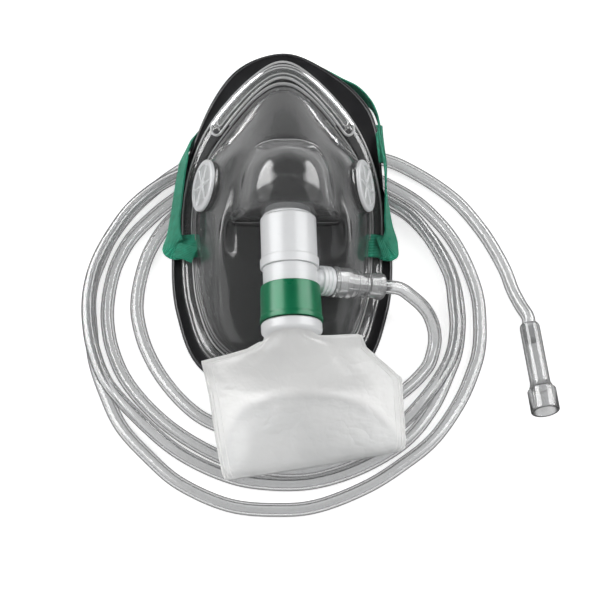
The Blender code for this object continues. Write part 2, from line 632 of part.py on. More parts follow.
def swivel(clear):
    """The clear swivel that turns on the tee's side arm, and the cuff that grips the tube on its barb."""
    start = ARM_END + GAP
    deep = ARM_NIPPLE_END + GAP
    turned("swivel_connector", [
        (BARB_RADIUS - 0.4, BARB_END), (BARB_RADIUS, BARB_END - 0.6), (BARB_RADIUS, SWIVEL_END),
        (SWIVEL_NECK, SWIVEL_END), (SWIVEL_NECK, SWIVEL_STEP), (SWIVEL_BODY, SWIVEL_STEP - 0.6),
        (SWIVEL_BODY, start + 0.5), (SWIVEL_BODY - 0.5, start), (ARM_NIPPLE + SPIN_GAP, start),
        (ARM_NIPPLE + SPIN_GAP, deep), (ARM_BORE, deep), (ARM_BORE, BARB_END)], clear, ARM, None, SMALL_STEPS)
    low = SWIVEL_END + GAP
    turned("tube_cuff", [
        (CUFF_RADIUS - 0.6, CUFF_END), (CUFF_RADIUS, CUFF_END - 0.6), (CUFF_RADIUS, CUFF_END - CUFF_BEAD),
        (CUFF_RADIUS - 0.5, CUFF_END - CUFF_BEAD - 0.5), (CUFF_RADIUS - 0.5, low),
        (BARB_RADIUS + GAP, low), (BARB_RADIUS + GAP, CUFF_END)], clear, ARM, None, SMALL_STEPS)


def reservoir_bag(film):
    """One sealed bag: round where it is tied to the ring, flat and wide at its folded end."""
    neck = MASK_FRAME @ TEE_FRAME
    centre = neck @ Vector((0, 0, -RING_END - GAP))
    shift = centre - Vector(BAG_DRAWN_NECK)
    rows = []
    for i, row in enumerate(BAG_ROWS):
        fade = 1 - (i + 1) / len(BAG_ROWS)
        rows.append([Vector(point) + shift * fade for point in row[:3]])
    side = neck.to_3x3() @ Vector((1, 0, 0))
    rise = neck.to_3x3() @ Vector((0, -1, 0))
    sections = []
    angles = [2 * pi * k / BAG_AROUND for k in range(BAG_AROUND)]
    sections.append([centre + (side * -cos(a) + rise * sin(a)) * BAG_NECK_RADIUS for a in angles])
    for (left, right, middle), row in zip(rows, BAG_ROWS):
        bow = middle - (left + right) / 2
        section = []
        for a in angles:
            point = left.lerp(right, (1 - cos(a)) / 2) + bow * sin(a) ** 2
            swell = row[3] * sin(a) * abs(sin(a)) ** BAG_SEAM
            section.append(point + Vector((0, 0, swell)))
        sections.append(section)
    strands = [through([section[k] for section in sections], BAG_STEPS) for k in range(BAG_AROUND)]
    bm = bmesh.new()
    loops = [[bm.verts.new(strand[i]) for strand in strands] for i in range(len(strands[0]))]
    for a, b in zip(loops, loops[1:]):
        for k in range(BAG_AROUND):
            n = (k + 1) % BAG_AROUND
            bm.faces.new((a[k], a[n], b[n], b[k]))
    bm.faces.new(reversed(loops[0]))
    bm.faces.new(loops[-1])
    bmesh.ops.recalc_face_normals(bm, faces=bm.faces)
    return add_object("reservoir_bag", mesh_of("reservoir_bag", bm), film, ORIGIN)


def strap_line():
    """The strap's middle and width direction: laced through the right slot, round the back, into the left."""
    def laced(side):
        x, y, z = SLOT_PLACE
        points = []
        for out, up in STRAP_LACING:
            local = on_mask(side * (x + out), y, z) + Vector((0, 0, up))
            points.append((MASK_FRAME @ local, Vector((0, 1, 0))))
        return points
    run = [(Vector((x * STRETCH.x, y * STRETCH.y, z)), Vector(wide).normalized()) for (x, y, z), wide in STRAP_RUN]
    stations = laced(1) + run + laced(-1)[::-1]
    middles = through([middle for middle, wide in stations], STRAP_STEPS)
    widths = through([wide for middle, wide in stations], STRAP_STEPS)
    return middles, widths


def head_strap(finish):
    middles, widths = strap_line()
    bm = bmesh.new()
    loops = []
    last = len(middles) - 1
    for i, (middle, wide) in enumerate(zip(middles, widths)):
        along = (middles[min(i + 1, last)] - middles[max(i - 1, 0)]).normalized()
        across = (wide - along * wide.dot(along)).normalized() * STRAP_WIDTH / 2
        thick = along.cross(across).normalized() * STRAP_THICK / 2
        corners = (across + thick, thick - across, -across - thick, across - thick)
        loops.append([bm.verts.new(middle + corner) for corner in corners])
    for a, b in zip(loops, loops[1:]):
        for k in range(4):
            bm.faces.new((a[k], a[(k + 1) % 4], b[(k + 1) % 4], b[k]))
    bm.faces.new(reversed(loops[0]))
    bm.faces.new(loops[-1])
    bmesh.ops.recalc_face_normals(bm, faces=bm.faces)
    return add_object("head_strap", mesh_of("head_strap", bm), finish, ORIGIN)


def oxygen_tube(finish):
    data = bpy.data.curves.new("oxygen_tube", "CURVE")
    data.dimensions = "3D"
    data.bevel_depth = TUBE_RADIUS * MM
    data.bevel_resolution = 2
    data.use_fill_caps = True
    connector = connector_frame()
    start = [ARM_FRAME @ Vector((0, 0, CUFF_END + out)) for out in (TUBE_START, TUBE_STRAIGHT)]
    end = [connector @ Vector((0, 0, out)) for out in (-TUBE_STRAIGHT / 2, 0, TUBE_STRAIGHT)]
    curve = through(start + list(TUBE_ROUTE) + end, TUBE_STEPS)
    loops = curve[TUBE_STEPS:len(curve) - 2 * TUBE_STEPS]
    line = [start[0], *evenly(loops, TUBE_POINTS), *end[1:]]
    spline = data.splines.new("POLY")
    spline.points.add(len(line) - 1)
    for point, place in zip(spline.points, line):
        point.co = (*(place * MM), 1)
    return add_object("oxygen_tube", data, finish, ORIGIN)


def connector_frame():
    """The far connector's frame: Z runs from its tube end to its open end."""
    start = Vector(CONNECTOR_START)
    out = Vector(CONNECTOR_END) - start
    return Matrix.Translation(start) @ out.to_track_quat("Z", "Y").to_matrix().to_4x4()


def tube_connector(finish):
    """The far connector: it takes the tube in one end and pushes onto a flowmeter's nipple at the other."""
    length = (Vector(CONNECTOR_END) - Vector(CONNECTOR_START)).length
    cuff = length - CONNECTOR_CUFF
    body = CONNECTOR_BODY
    deep = length - CONNECTOR_DEEP
    turned("tube_connector", [
        (CONNECTOR_RADIUS - 0.3, length), (CONNECTOR_RADIUS, length - 0.3),
        (CONNECTOR_RADIUS, cuff + 0.8), (CONNECTOR_RADIUS - 0.8, cuff), (body, cuff - 1.5),
        (body - 0.4, length / 3), (body - 0.8, 1), (body - 1.2, 0), (TUBE_BORE, 0), (TUBE_BORE, deep),
        (CONNECTOR_BORE, deep), (CONNECTOR_BORE, length)],
        finish, ORIGIN, in_metres(connector_frame()), SMALL_STEPS)


def build():
    white = material("white_plastic", (0.86, 0.87, 0.88), 0.35)
    clear = material("clear_plastic", (0.80, 0.82, 0.84), 0.08, alpha=0.35)
    film = material("silicone_film", (0.85, 0.87, 0.86), 0.45, alpha=0.6)
    black = material("black_rubber", (0.02, 0.02, 0.022), 0.4)
    green = material("green_plastic", (0.02, 0.19, 0.09), 0.3)
    elastic = material("green_elastic", (0.04, 0.30, 0.17), 0.8)
    metal = material("soft_aluminium", (0.75, 0.76, 0.78), 0.35, metallic=1.0)
    bag_film = material("bag_film", (0.88, 0.89, 0.90), 0.4, alpha=0.8)
    mask_shell(clear)
    face_liner(black)
    nose_clip(metal)
    for side, word in SIDES:
        vent(side, word, white, film)
    port_sleeve(white)
    tee_body(white, inlet_valve(film, white))
    bag_rings(green, white)
    swivel(clear)
    reservoir_bag(bag_film)
    head_strap(elastic)
    oxygen_tube(clear)
    tube_connector(clear)


def lift():
    """How high the mask frame lies for the liner's chin to touch the floor."""
    chin = on_mask(*CAGE[0][-1])
    below = chin.z - SHELL_WALL - FLANGE_GAP - LINER_WALL
    beyond = LINER_EDGE[0][-1][1] * STRETCH.y
    return -(beyond * sin(radians(LIE_PITCH)) + below * cos(radians(LIE_PITCH)))


clear_scene()
PARTS = collection("oxygen_face_mask")
TOOLS = collection("cutters")
MASK_FRAME = Matrix.Translation((0, LIE_Y, lift())) @ Matrix.Rotation(radians(LIE_PITCH), 4, "X")
TEE_TURN = Euler((radians(-90), 0, radians(TEE_YAW)))
TEE_FRAME = Matrix.Translation(on_mask(*PORT_PLACE)) @ TEE_TURN.to_matrix().to_4x4()
ARM_TURN = Euler((0, radians(90), radians(ARM_DROP)))
ARM_FRAME = MASK_FRAME @ TEE_FRAME @ Matrix.Translation((0, 0, -ARM_S)) @ ARM_TURN.to_matrix().to_4x4()
VENTS = {side: wall_frame(side) for side, word in SIDES}
ORIGIN = empty("origin", None, (ORIGIN_X, ORIGIN_Y, 0))
MASK = empty("mask_lie", ORIGIN, (0, LIE_Y, lift()), (radians(LIE_PITCH), 0, 0))
TEE = empty("tee_axis", MASK, on_mask(*PORT_PLACE), TEE_TURN)
ARM = empty("arm_axis", TEE, (0, 0, -ARM_S), ARM_TURN)
build()
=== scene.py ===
"""Looks of the oxygen face mask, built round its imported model: shell, liner, tee, bag, strap and tube."""

from math import cos, exp, pi, radians, sin

import bmesh
import bpy
from mathutils import Euler, Matrix, Vector, noise
from mathutils.bvhtree import BVHTree

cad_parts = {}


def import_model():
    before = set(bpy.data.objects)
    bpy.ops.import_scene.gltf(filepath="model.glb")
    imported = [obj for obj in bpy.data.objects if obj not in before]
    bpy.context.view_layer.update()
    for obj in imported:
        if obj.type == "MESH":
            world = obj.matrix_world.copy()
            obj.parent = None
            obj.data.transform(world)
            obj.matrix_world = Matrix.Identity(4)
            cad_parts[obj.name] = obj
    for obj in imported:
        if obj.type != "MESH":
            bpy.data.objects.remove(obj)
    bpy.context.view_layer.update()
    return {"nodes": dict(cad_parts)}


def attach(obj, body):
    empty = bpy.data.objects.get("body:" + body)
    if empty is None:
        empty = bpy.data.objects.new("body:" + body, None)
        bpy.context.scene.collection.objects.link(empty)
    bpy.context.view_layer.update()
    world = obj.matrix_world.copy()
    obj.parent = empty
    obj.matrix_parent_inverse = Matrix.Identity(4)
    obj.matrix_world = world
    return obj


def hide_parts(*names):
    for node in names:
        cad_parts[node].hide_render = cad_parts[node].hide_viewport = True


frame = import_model()

MM = 0.001
ROOT = "mask"
TURNING = "swivel"
AROUND = 96

# The frames of the mask, of the tee and of its side arm, in millimetres
ORIGIN = Matrix.Translation((0, -3.1, 0))
STRETCH = Vector((1, 150 / 151, 1))
NOSE_LEAN = 0.056
LIE_PITCH = radians(8.2)
LIE_UP = 10.246
MASK_FRAME = ORIGIN @ Matrix.Translation((0, 4, LIE_UP)) @ Matrix.Rotation(LIE_PITCH, 4, "X")


def on_mask(x, y, z):
    """A point drawn on the mask, with the soft nose leaning over."""
    return Vector((x * STRETCH.x + NOSE_LEAN * z, y * STRETCH.y, z))


TEE_TURN = Euler((radians(-90), 0, radians(1.9))).to_matrix().to_4x4()
TEE_FRAME = MASK_FRAME @ Matrix.Translation(on_mask(0.5, 5.0, 40.0)) @ TEE_TURN
ARM_TURN = Euler((0, radians(90), radians(24))).to_matrix().to_4x4()
ARM_FRAME = TEE_FRAME @ Matrix.Translation((0, 0, -25.9)) @ ARM_TURN
CONNECTOR_START = Vector((105.3, -25.1, 5.6))
CONNECTOR_END = Vector((110.7, -65.3, 6.35))


def connector_frame():
    out = CONNECTOR_END - CONNECTOR_START
    return Matrix.Translation(CONNECTOR_START) @ out.to_track_quat("Z", "Y").to_matrix().to_4x4()


CONNECTOR_FRAME = ORIGIN @ connector_frame()

# Half outlines of the shell from nose bridge to chin, one for each level from the rim to the nose tip
CAGE = (
    ((0, 91, 2.0), (14, 83, 1.8), (29.5, 65, 1.2), (38.5, 46, 0.6), (42.7, 25, 0.1),
     (42.7, 3, 0), (40, -23, 0.3), (29.5, -46.5, 0.9), (0, -60, 1.4)),
    ((0, 78, 5), (10.5, 73, 4.6), (24, 57, 3.4), (33.6, 41, 2.4), (38.3, 23.5, 1.8),
     (38.3, 3, 1.6), (35.7, -21.5, 2), (25.8, -42.5, 3), (0, -54.5, 3.6)),
    ((0, 73, 10), (9.5, 68.5, 10.5), (21.5, 54, 11), (33, 39.5, 10.5), (35.8, 23, 10),
     (35.8, 2, 9.5), (33, -20, 9), (23.5, -39.5, 8.5), (0, -51, 8)),
    ((0, 65, 17), (9, 61, 18), (19.8, 50, 19), (30.6, 37.6, 18.5), (32.9, 22, 18.5),
     (32.8, 1, 17), (30, -19, 14.5), (21.5, -35, 12.5), (0, -44, 11)),
    ((0, 55, 25), (8.5, 52, 26), (18, 44, 27.5), (26.6, 34.3, 28), (28.8, 19, 28),
     (29.3, 0, 25), (27, -16, 19.5), (19.5, -27, 16.5), (0, -33, 15)),
    ((0, 47, 31), (8, 45, 32), (16, 39.5, 33.5), (21.5, 30, 34.5), (25.2, 16, 34),
     (26.3, 2, 29), (23.5, -8, 24.5), (16, -14, 22), (0, -17, 21.5)),
    ((0, 42, 34.5), (7.5, 41, 35.5), (13.8, 36.5, 38), (18.3, 27, 40), (21, 14, 38),
     (22.5, 6.8, 29.5), (20, 6.2, 27), (13, 5.9, 26.5), (0, 5.8, 26.5)),
    ((0, 38.5, 41), (7, 37, 42), (12.5, 32.5, 44.5), (16.5, 24.5, 46), (18.5, 14, 44),
     (19.5, 7.5, 38), (18, 6.2, 37), (11, 5.6, 38), (0, 5.5, 39)),
    ((0, 33, 50.5), (6, 31.5, 50.5), (10.5, 28, 51.5), (13.8, 22, 52), (15.5, 14, 51),
     (15.5, 8.7, 48), (13, 7.0, 49.5), (8, 6.4, 51), (0, 6.2, 51.5)),
    ((0, 26, 56.5), (4.5, 25, 56.5), (7.8, 22.5, 56.5), (9.8, 19, 56.5), (10.5, 15, 56),
     (9.5, 11.7, 55.3), (7.5, 10.5, 55.5), (4.3, 10, 55.8), (0, 9.8, 56)),
)
NOSE_TIP = (0, 18, 59)
# The liner's own wider edge at each of those stations, down the right side and then down the left side
LINER_EDGE = (
    ((0, 94.4), (15.8, 88.8), (33.5, 74.7), (41.0, 58.4), (43.5, 25.3), (46.7, 3.0), (44.4, -24.6),
     (32.8, -50.1), (0, -64.63)),
    ((-18.0, 88.2), (-30.2, 72.5), (-39.6, 47.5), (-43.5, 25.3), (-46.7, 3.0), (-44.4, -24.6),
     (-32.8, -50.1)),
)

# The bag's left edge, right edge, middle and half thickness, from near its neck to its folded end
BAG_ROWS = (
    ((-7.5, -46.7, 37.0), (16.8, -45.8, 38.0), (4.8, -48.9, 38.0), 9.5),
    ((-14.2, -47.6, 30.0), (33.0, -41.3, 30.0), (6.9, -51.7, 33.0), 8.0),
    ((-23.1, -46.8, 22.0), (35.2, -44.1, 24.0), (7.7, -54.9, 28.0), 7.0),
    ((-33.4, -46.0, 14.0), (44.6, -49.2, 16.0), (8.9, -60.0, 22.0), 6.0),
    ((-31.8, -52.1, 11.4), (50.1, -53.0, 12.6), (10.2, -65.0, 18.0), 5.5),
    ((-30.0, -60.5, 10.0), (50.4, -61.2, 11.2), (10.8, -70.0, 16.0), 5.5),
    ((-28.2, -71.9, 8.8), (51.1, -71.7, 9.6), (11.4, -75.5, 14.5), 5.4),
    ((-26.0, -85.6, 8.2), (51.4, -79.6, 9.0), (12.7, -85.2, 12.5), 4.2),
    ((-24.2, -93.9, 7.6), (51.0, -82.6, 8.4), (13.1, -90.1, 11.5), 2.8),
    ((-22.9, -96.5, 7.4), (49.3, -83.8, 8.0), (13.1, -91.9, 10.5), 1.0),
)
BAG_DRAWN_NECK = (4.4, -46.8, 43.5)
BAG_FOLD = 0.50
BAG_AROUND = 120
BAG_STEPS = 10
BAG_NECK = 10.9
BAG_TUCK = 1.2
BAG_FLATNESS = 0.4
# The welds along the bag's edges: the place round the bag, the first row and the radius of each
BAG_SEAMS = (
    ("left_edge", 0, 12, 0.42), ("left", 5, 12, 0.28), ("left_inner", 8, 30, 0.2),
    ("right_edge", 60, 12, 0.42), ("right", 55, 12, 0.28), ("right_inner", 52, 30, 0.2),
)

# The strap at a slot, out from it and up from it, and its run round the back with the direction of its width
SLOT_PLACE = (36.0, 4.2, 5.0)
STRAP_LACING = (
    (10.4, -9.6), (5.0, -10.4), (-0.6, -9.9), (-4.2, -6.7), (-4.4, -2.6), (-1.8, -0.25), (2.0, 0.1),
    (6.2, -1.1),
)
STRAP_RUN = (
    ((45.6, 6.8, 14.4), (-0.4, 0.9, 0.3)),
    ((46.6, 12.0, 13.8), (-0.5, 0.4, 0.8)),
    ((45.6, 20.0, 15.5), (-0.3, 0, 0.95)),
    ((44.8, 33.0, 17.9), (-0.06, 0, 0.99)),
    ((44.6, 42.0, 18.0), (-0.08, 0, 0.99)),
    ((44.3, 48.5, 17.0), (-0.15, 0, 0.98)),
    ((43.7, 55.0, 15.0), (-0.2, 0, 0.98)),
    ((43.2, 63.0, 11.7), (-0.17, 0, 0.98)),
    ((42.4, 72.0, 8.4), (-0.12, 0, 0.99)),
    ((39.4, 81.8, 6.2), (-0.1, -0.1, 0.99)),
    ((33.5, 88.5, 5.6), (0, 0, 1)),
    ((26.0, 93.0, 5.6), (0, 0, 1)),
    ((15.0, 99.5, 5.6), (0, 0, 1)),
    ((4.0, 103.0, 5.6), (0, 0, 1)),
    ((-8.0, 101.0, 5.6), (0, 0, 1)),
    ((-19.0, 92.0, 5.8), (0, 0, 1)),
    ((-26.0, 82.5, 7.0), (0.1, 0, 0.99)),
    ((-30.2, 74.0, 9.4), (0.1, 0, 0.99)),
    ((-33.6, 67.0, 10.8), (0.1, 0, 0.99)),
    ((-38.2, 61.9, 10.2), (0.12, 0, 0.99)),
    ((-41.2, 56.8, 12.6), (0.22, 0, 0.97)),
    ((-42.5, 51.0, 16.2), (0.34, 0, 0.94)),
    ((-43.0, 45.5, 17.6), (0.38, 0, 0.92)),
    ((-44.0, 38.5, 17.6), (0.4, 0, 0.92)),
    ((-45.2, 28.0, 16.0), (0.42, 0, 0.91)),
    ((-46.4, 17.0, 14.2), (0.5, 0.2, 0.85)),
    ((-46.4, 8.0, 14.4), (0.6, 0.75, 0.3)),
)

# The strap's folded ends: the direction and size of each one's width, and its middle line
STRAP_FOLDS = (
    ("left_top", (-2.2, -6.8, 0),
     ((-45.3, 5.0, 16.6), (-43.0, 4.1, 17.6), (-40.5, 3.2, 17.7), (-37.3, 2.0, 17.0))),
    ("right_top", (3.0, 1.2, 0), ((41.6, 11.0, 16.6), (43.0, 6.5, 17.3), (44.6, 1.6, 16.8))),
    ("right_side", (3.4, 0, -0.6),
     ((42.1, 66.0, 15.4), (42.3, 60.0, 17.6), (42.8, 52.0, 20.2), (43.4, 45.2, 20.4))),
)

# The tube's own points between its straight ends, down to the floor, round four loops and out again
TUBE_ROUTE = (
    (54.5, -19.5, 22.5), (60, -22, 16.5), (63.5, -25.5, 10.5), (65, -31, 6), (64, -37.5, 3.5), (61, -44.5, 3),
    (51.5, -54.5, 3), (33, -68, 3), (16, -75, 3), (-8, -76.5, 3), (-28.5, -69.5, 3), (-39.5, -62, 3),
    (-50, -49.5, 3), (-57.5, -35.5, 3), (-61.5, -21.5, 3), (-62, -10.5, 3), (-60, 2, 3), (-57, 11.5, 3),
    (-51, 22.5, 3), (-42, 32.5, 3), (-32, 39, 3), (-17, 44, 3), (0, 46, 3), (18, 44, 5.5), (33, 40, 8),
    (46, 32.5, 9), (55.5, 25.5, 9), (63, 15.5, 9), (69, 4, 9), (72.5, -6, 9), (73.5, -17, 9), (74, -27, 9),
    (72.5, -38, 9), (68.5, -47.5, 8.5), (59.5, -61, 8), (48.5, -72, 5.5), (33, -82.5, 3), (12, -90, 3),
    (-9, -89.5, 3), (-25.5, -84.5, 3), (-42.5, -74.5, 3), (-55.5, -63, 3), (-66, -49.5, 3), (-72, -35.5, 3),
    (-74.5, -22.5, 3), (-74.5, -12, 3), (-73, -1.5, 3), (-70.5, 7, 3), (-65.5, 17, 3), (-58, 26, 3),
    (-48.5, 35, 3), (-36, 44, 3), (-18, 50.5, 3), (0, 52.5, 3), (18, 50.5, 3), (33, 43, 3), (47, 34, 3),
    (56, 27.5, 3), (64, 17.5, 3), (70.5, 6, 3), (74, -5, 3), (75.5, -16, 3), (75.5, -25.5, 3), (74, -36.5, 3),
    (70.5, -46.5, 3), (63.5, -62, 3), (51.5, -77.5, 3), (32.5, -89.5, 3), (12, -96, 3), (-9, -96, 3),
    (-25, -92, 3), (-43, -83, 4.5), (-58.5, -70.5, 8), (-73, -54, 9), (-79.5, -38.5, 9), (-82, -25.5, 9),
    (-82.5, -15, 9), (-81.5, -5.5, 9), (-79, 4, 9), (-74, 15, 9), (-66, 28, 9), (-56, 38, 9), (-46, 44.5, 9),
    (-33.5, 50, 8), (-18, 57, 4), (0, 59, 3), (18, 57, 3), (33, 50, 3), (46.5, 43, 3), (58.5, 35, 3),
    (67.5, 25.5, 3), (73.5, 17, 3), (78.5, 7, 3), (82, -3, 3), (84, -12, 3), (84.5, -22.5, 3), (84, -33.5, 3),
    (81.5, -44, 3), (75, -59.5, 3), (64, -76, 3), (51.5, -87, 3), (36, -97.5, 3), (16, -106, 3),
    (-0.5, -108, 3), (-21.5, -106, 3), (-42, -96.5, 3), (-55.5, -84.5, 3), (-67.5, -70.5, 3), (-75, -54, 3),
    (-79.5, -40, 3), (-81.5, -25.5, 3), (-82.5, -14, 3), (-81.5, -3.5, 3), (-78.5, 6.5, 3), (-74, 18, 3),
    (-65.5, 31, 3), (-55.5, 41.5, 3), (-46, 49.5, 3), (-34, 57, 3), (-18, 64, 3), (0, 66.5, 3), (18, 64.5, 3),
    (33, 59, 3), (47, 55, 3), (56, 50.5, 3), (67, 43, 3), (77, 34, 3), (85.5, 22.5, 3), (91, 13, 3),
    (96, 2, 3), (99, -7.5, 3), (102, -15, 4),
)
TUBE_RADIUS = 2.9
LUMEN_RADIUS = 1.75
CUFF_END = 42.2
TUBE_START = 0.45
TUBE_STRAIGHT = 8.0
CONNECTOR_DEPTH = 11

# The skins: steps between drawn points, the row where the rim ends, the walls and the liner's way in
SKIN_COLUMNS = 8
SKIN_ROWS = 6
RIM_ROW = 6
SHELL_WALL = 1.2
LINER_WALL = 1.0
LINER_GAP = 1.5
LINER_SINK = 1.3

# Where a vent sits on its wall, before it is moved on to the skin, and its spokes
VENT_PLACE = (31.8, 26.5, 18.0)
VENT_SPOKES = 6
SPOKE_HEIGHT = 2.35

# The outlines of the turned pieces, as radius and height on the axis of each
AXIS_RADIUS = 0.001
VENT_SEAT = ((10.9, 0.9), (10.9, -1.4), (7.9, -1.4), (7.9, 0.9))
VENT_FILM = ((9.2, 1.7), (9.2, 1.1), (1.2, 1.1), (1.2, 1.7))
VENT_COVER = ((10.7, 2.8), (11.2, 2.3), (11.2, 1.1), (9.5, 1.1), (9.5, 1.9), (8.9, 1.9), (8.9, 2.8))
VENT_HUB = ((0, 2.7), (2.2, 2.7), (2.2, 1.9), (0.9, 1.9), (0.9, -2.0), (0, -2.0))
VENT_PLATE = ((9.1, 2.3), (9.1, 1.95), (2.0, 1.95), (2.0, 2.3))
SLEEVE = (
    (9.6, 7.0), (9.6, 0), (11.0, 0), (11.6, -0.7), (11.6, -17.7), (12.2, -18.4), (12.2, -21.9),
    (10.8, -21.9), (10.8, -6.5), (7.6, -6.5), (7.6, 7.0),
)
SLEEVE_RING = ((9.9, 1.5), (10.5, 0.9), (10.5, 0.1), (8.2, 0.1), (8.2, 1.5))
TEE = ((10.5, -9.2), (10.5, -22.2), (11.2, -22.2), (11.2, -44.3), (9.0, -44.3), (9.0, -9.2))
COLLAR = (
    (11.9, -29.8), (12.3, -30.3), (12.65, -42.7), (13.05, -43.7), (13.05, -45.3), (11.5, -45.3),
    (11.5, -29.8),
)
RING_LOW = -50.4
NECK_RING = ((12.0, -45.6), (12.6, -46.2), (12.6, -49.6), (11.8, RING_LOW), (9.0, RING_LOW), (9.0, -45.6))

# The ribbed stub on the tee's side: its heights on the arm's axis, its bore and its ribs
STUB_START = 10.0
STUB_END = 25.0
STUB_BORE = 2.0
STUB_RIBS = 3
RIB_START = 13.4
RIB_PITCH = 1.733
RIB_LENGTH = 0.87
RIB_RADIUS = 6.2
RIB_ROOT = 5.7

# The outlines of the swivel and the cuff, and the height and radius of each ring on the swivel
SWIVEL = (
    (2.3, 39.5), (2.7, 38.9), (2.7, 35.0), (4.6, 35.0), (4.6, 31.6), (5.6, 31.2), (5.6, 27.0), (6.4, 26.4),
    (6.4, 19.4), (5.9, 18.9), (3.45, 18.9), (3.45, 25.3), (2.0, 25.3), (2.0, 39.5),
)
SWIVEL_RINGS = ((20.3, 6.4), (29.6, 5.6), (33.6, 4.6))
CUFF = ((5.0, CUFF_END), (5.6, 41.6), (5.6, 39.0), (5.1, 38.5), (5.1, 35.3), (3.0, 35.3), (3.0, CUFF_END))

# The size of the strap's webbing and the thickness of its folded ends
STRAP_WIDTH = 11.0
STRAP_THICK = 0.9
FOLD_THICK = 0.8

# The two pale boxes that reflections see, by how far aside a ray goes, the ceiling and the floor's glow
BOX_START = 0.45
BOX_END = 0.98
BOX_SOFTNESS = 0.07
LEFT_BOX = 16.0
RIGHT_BOX = 13.0
CEILING = 0.10
FLOOR_GLOW = 0.68
FLOOR_HALF = 2.5

# The lamps beside the object and the camera above it, in metres
LAMP_SIZE = (0.25, 0.9)
LAMP_PLACE = (0.75, -0.15, 0.75)
LAMP_AIM = (0, 0, 0.03)
CAMERA_TARGET = Vector((0.0077, -0.0139, 0.0))
CAMERA_ELEVATION = radians(65)
CAMERA_DISTANCE = 1.15
CAMERA_SENSOR = 36
SEEN_WIDTH = 0.258


def material(name, colour, roughness, **values):
    """A Principled material; the values are other inputs of its shader by name."""
    made = bpy.data.materials.new(name)
    made.use_nodes = True
    shader = made.node_tree.nodes["Principled BSDF"]
    shader.inputs["Base Color"].default_value = (*colour, 1.0)
    shader.inputs["Roughness"].default_value = roughness
    for word, value in values.items():
        shader.inputs[word.replace("_", " ")].default_value = value
    return made


def add_node(finish, kind, **values):
    """A node in the tree of a material or the world; the values are its settings, or else its inputs."""
    made = finish.node_tree.nodes.new(kind)
    for word, value in values.items():
        if hasattr(made, word):
            setattr(made, word, value)
        else:
            made.inputs[word.replace("_", " ")].default_value = value
    return made


def wire(finish, start, end):
    finish.node_tree.links.new(start, end)


def shader_of(finish):
    return finish.node_tree.nodes["Principled BSDF"]


def coordinates(finish, which="Object"):
    return add_node(finish, "ShaderNodeTexCoord").outputs[which]


def noise_of(finish, scale, detail=3.0, stretch=None):
    """A noise texture in the object's own metres; stretch scales it along X, Y and Z."""
    made = add_node(finish, "ShaderNodeTexNoise", Scale=scale, Detail=detail)
    place = coordinates(finish)
    if stretch is not None:
        mapping = add_node(finish, "ShaderNodeMapping")
        mapping.inputs["Scale"].default_value = stretch
        wire(finish, place, mapping.inputs["Vector"])
        place = mapping.outputs["Vector"]
    wire(finish, place, made.inputs["Vector"])
    return made.outputs["Fac"]


def worked(finish, operation, *values):
    """The result of a sum on values, each of them a number or the output of a node."""
    made = add_node(finish, "ShaderNodeMath", operation=operation)
    for socket, value in zip(made.inputs, values):
        if isinstance(value, float):
            socket.default_value = value
        else:
            wire(finish, value, socket)
    return made.outputs["Value"]


def rising(finish, source, start, end, low, high):
    """A value that eases from low to high while the source goes from start to end."""
    made = add_node(finish, "ShaderNodeMapRange", interpolation_type="SMOOTHSTEP")
    for word, value in (("From Min", start), ("From Max", end), ("To Min", low), ("To Max", high)):
        made.inputs[word].default_value = value
    wire(finish, source, made.inputs["Value"])
    return made.outputs["Result"]


def ramp(finish, source, stops):
    """The base colour by a ramp from a value; stops are (place, colour)."""
    made = add_node(finish, "ShaderNodeValToRGB")
    line = made.color_ramp
    while len(line.elements) < len(stops):
        line.elements.new(0.5)
    for element, (place, colour) in zip(line.elements, stops):
        element.position = place
        element.color = (*colour, 1.0)
    wire(finish, source, made.inputs["Fac"])
    wire(finish, made.outputs["Color"], shader_of(finish).inputs["Base Color"])


def spread(finish, source, low, high, socket="Roughness"):
    """A value from 0 to 1 sent to an input of the shader as low to high."""
    made = add_node(finish, "ShaderNodeMapRange")
    made.inputs["To Min"].default_value = low
    made.inputs["To Max"].default_value = high
    wire(finish, source, made.inputs["Value"])
    wire(finish, made.outputs["Result"], shader_of(finish).inputs[socket])


def bumps(finish, *layers):
    """Bump layers of (height, strength, distance in metres), one on another."""
    last = None
    for height, strength, distance in layers:
        made = add_node(finish, "ShaderNodeBump", Strength=strength, Distance=distance)
        wire(finish, height, made.inputs["Height"])
        if last is not None:
            wire(finish, last.outputs["Normal"], made.inputs["Normal"])
        last = made
    wire(finish, last.outputs["Normal"], shader_of(finish).inputs["Normal"])


def grey(value):
    return (value, value * 1.005, value * 1.01)


def clear_plastic(name, face, edge, roughness, clearness, ior=1.42, waviness=0.0, gloss=0.5):
    """Clear plastic, a little milky, with its face grey seen square on and its edge grey seen edge on:
    painted shade at the edges where the edge grey is darker, a faint painted highlight where it is paler.
    """
    made = material(name, grey(face), roughness, Transmission_Weight=clearness, IOR=ior,
                    Specular_IOR_Level=gloss)
    facing = add_node(made, "ShaderNodeLayerWeight").outputs["Facing"]
    # Painted light and shade by facing: the face grey square on, the edge grey towards the edges.
    ramp(made, facing, [(0.0, grey(face)), (0.22, grey(face)), (0.62, grey(edge))])
    spread(made, noise_of(made, 90), roughness * 0.6, roughness * 1.6)
    if waviness:
        bumps(made, (noise_of(made, 45, 2.0), waviness, 0.002))
    return made


def rim_painted_highlight():
    """The rim's outer line, its paleness a painted highlight by place: pale beside the nose, and painted
    darker round the chin, nearly lost against the liner.
    """
    made = material("clear_rim_edge_painted_highlight", grey(0.85), 0.16, Transmission_Weight=0.3, IOR=1.42)
    apart = add_node(made, "ShaderNodeSeparateXYZ")
    wire(made, coordinates(made), apart.inputs["Vector"])
    highlight_share = rising(made, apart.outputs["Y"], -0.012, 0.016, 0.0, 1.0)
    ramp(made, highlight_share, [(0.0, grey(0.38)), (1.0, grey(0.8))])
    return made


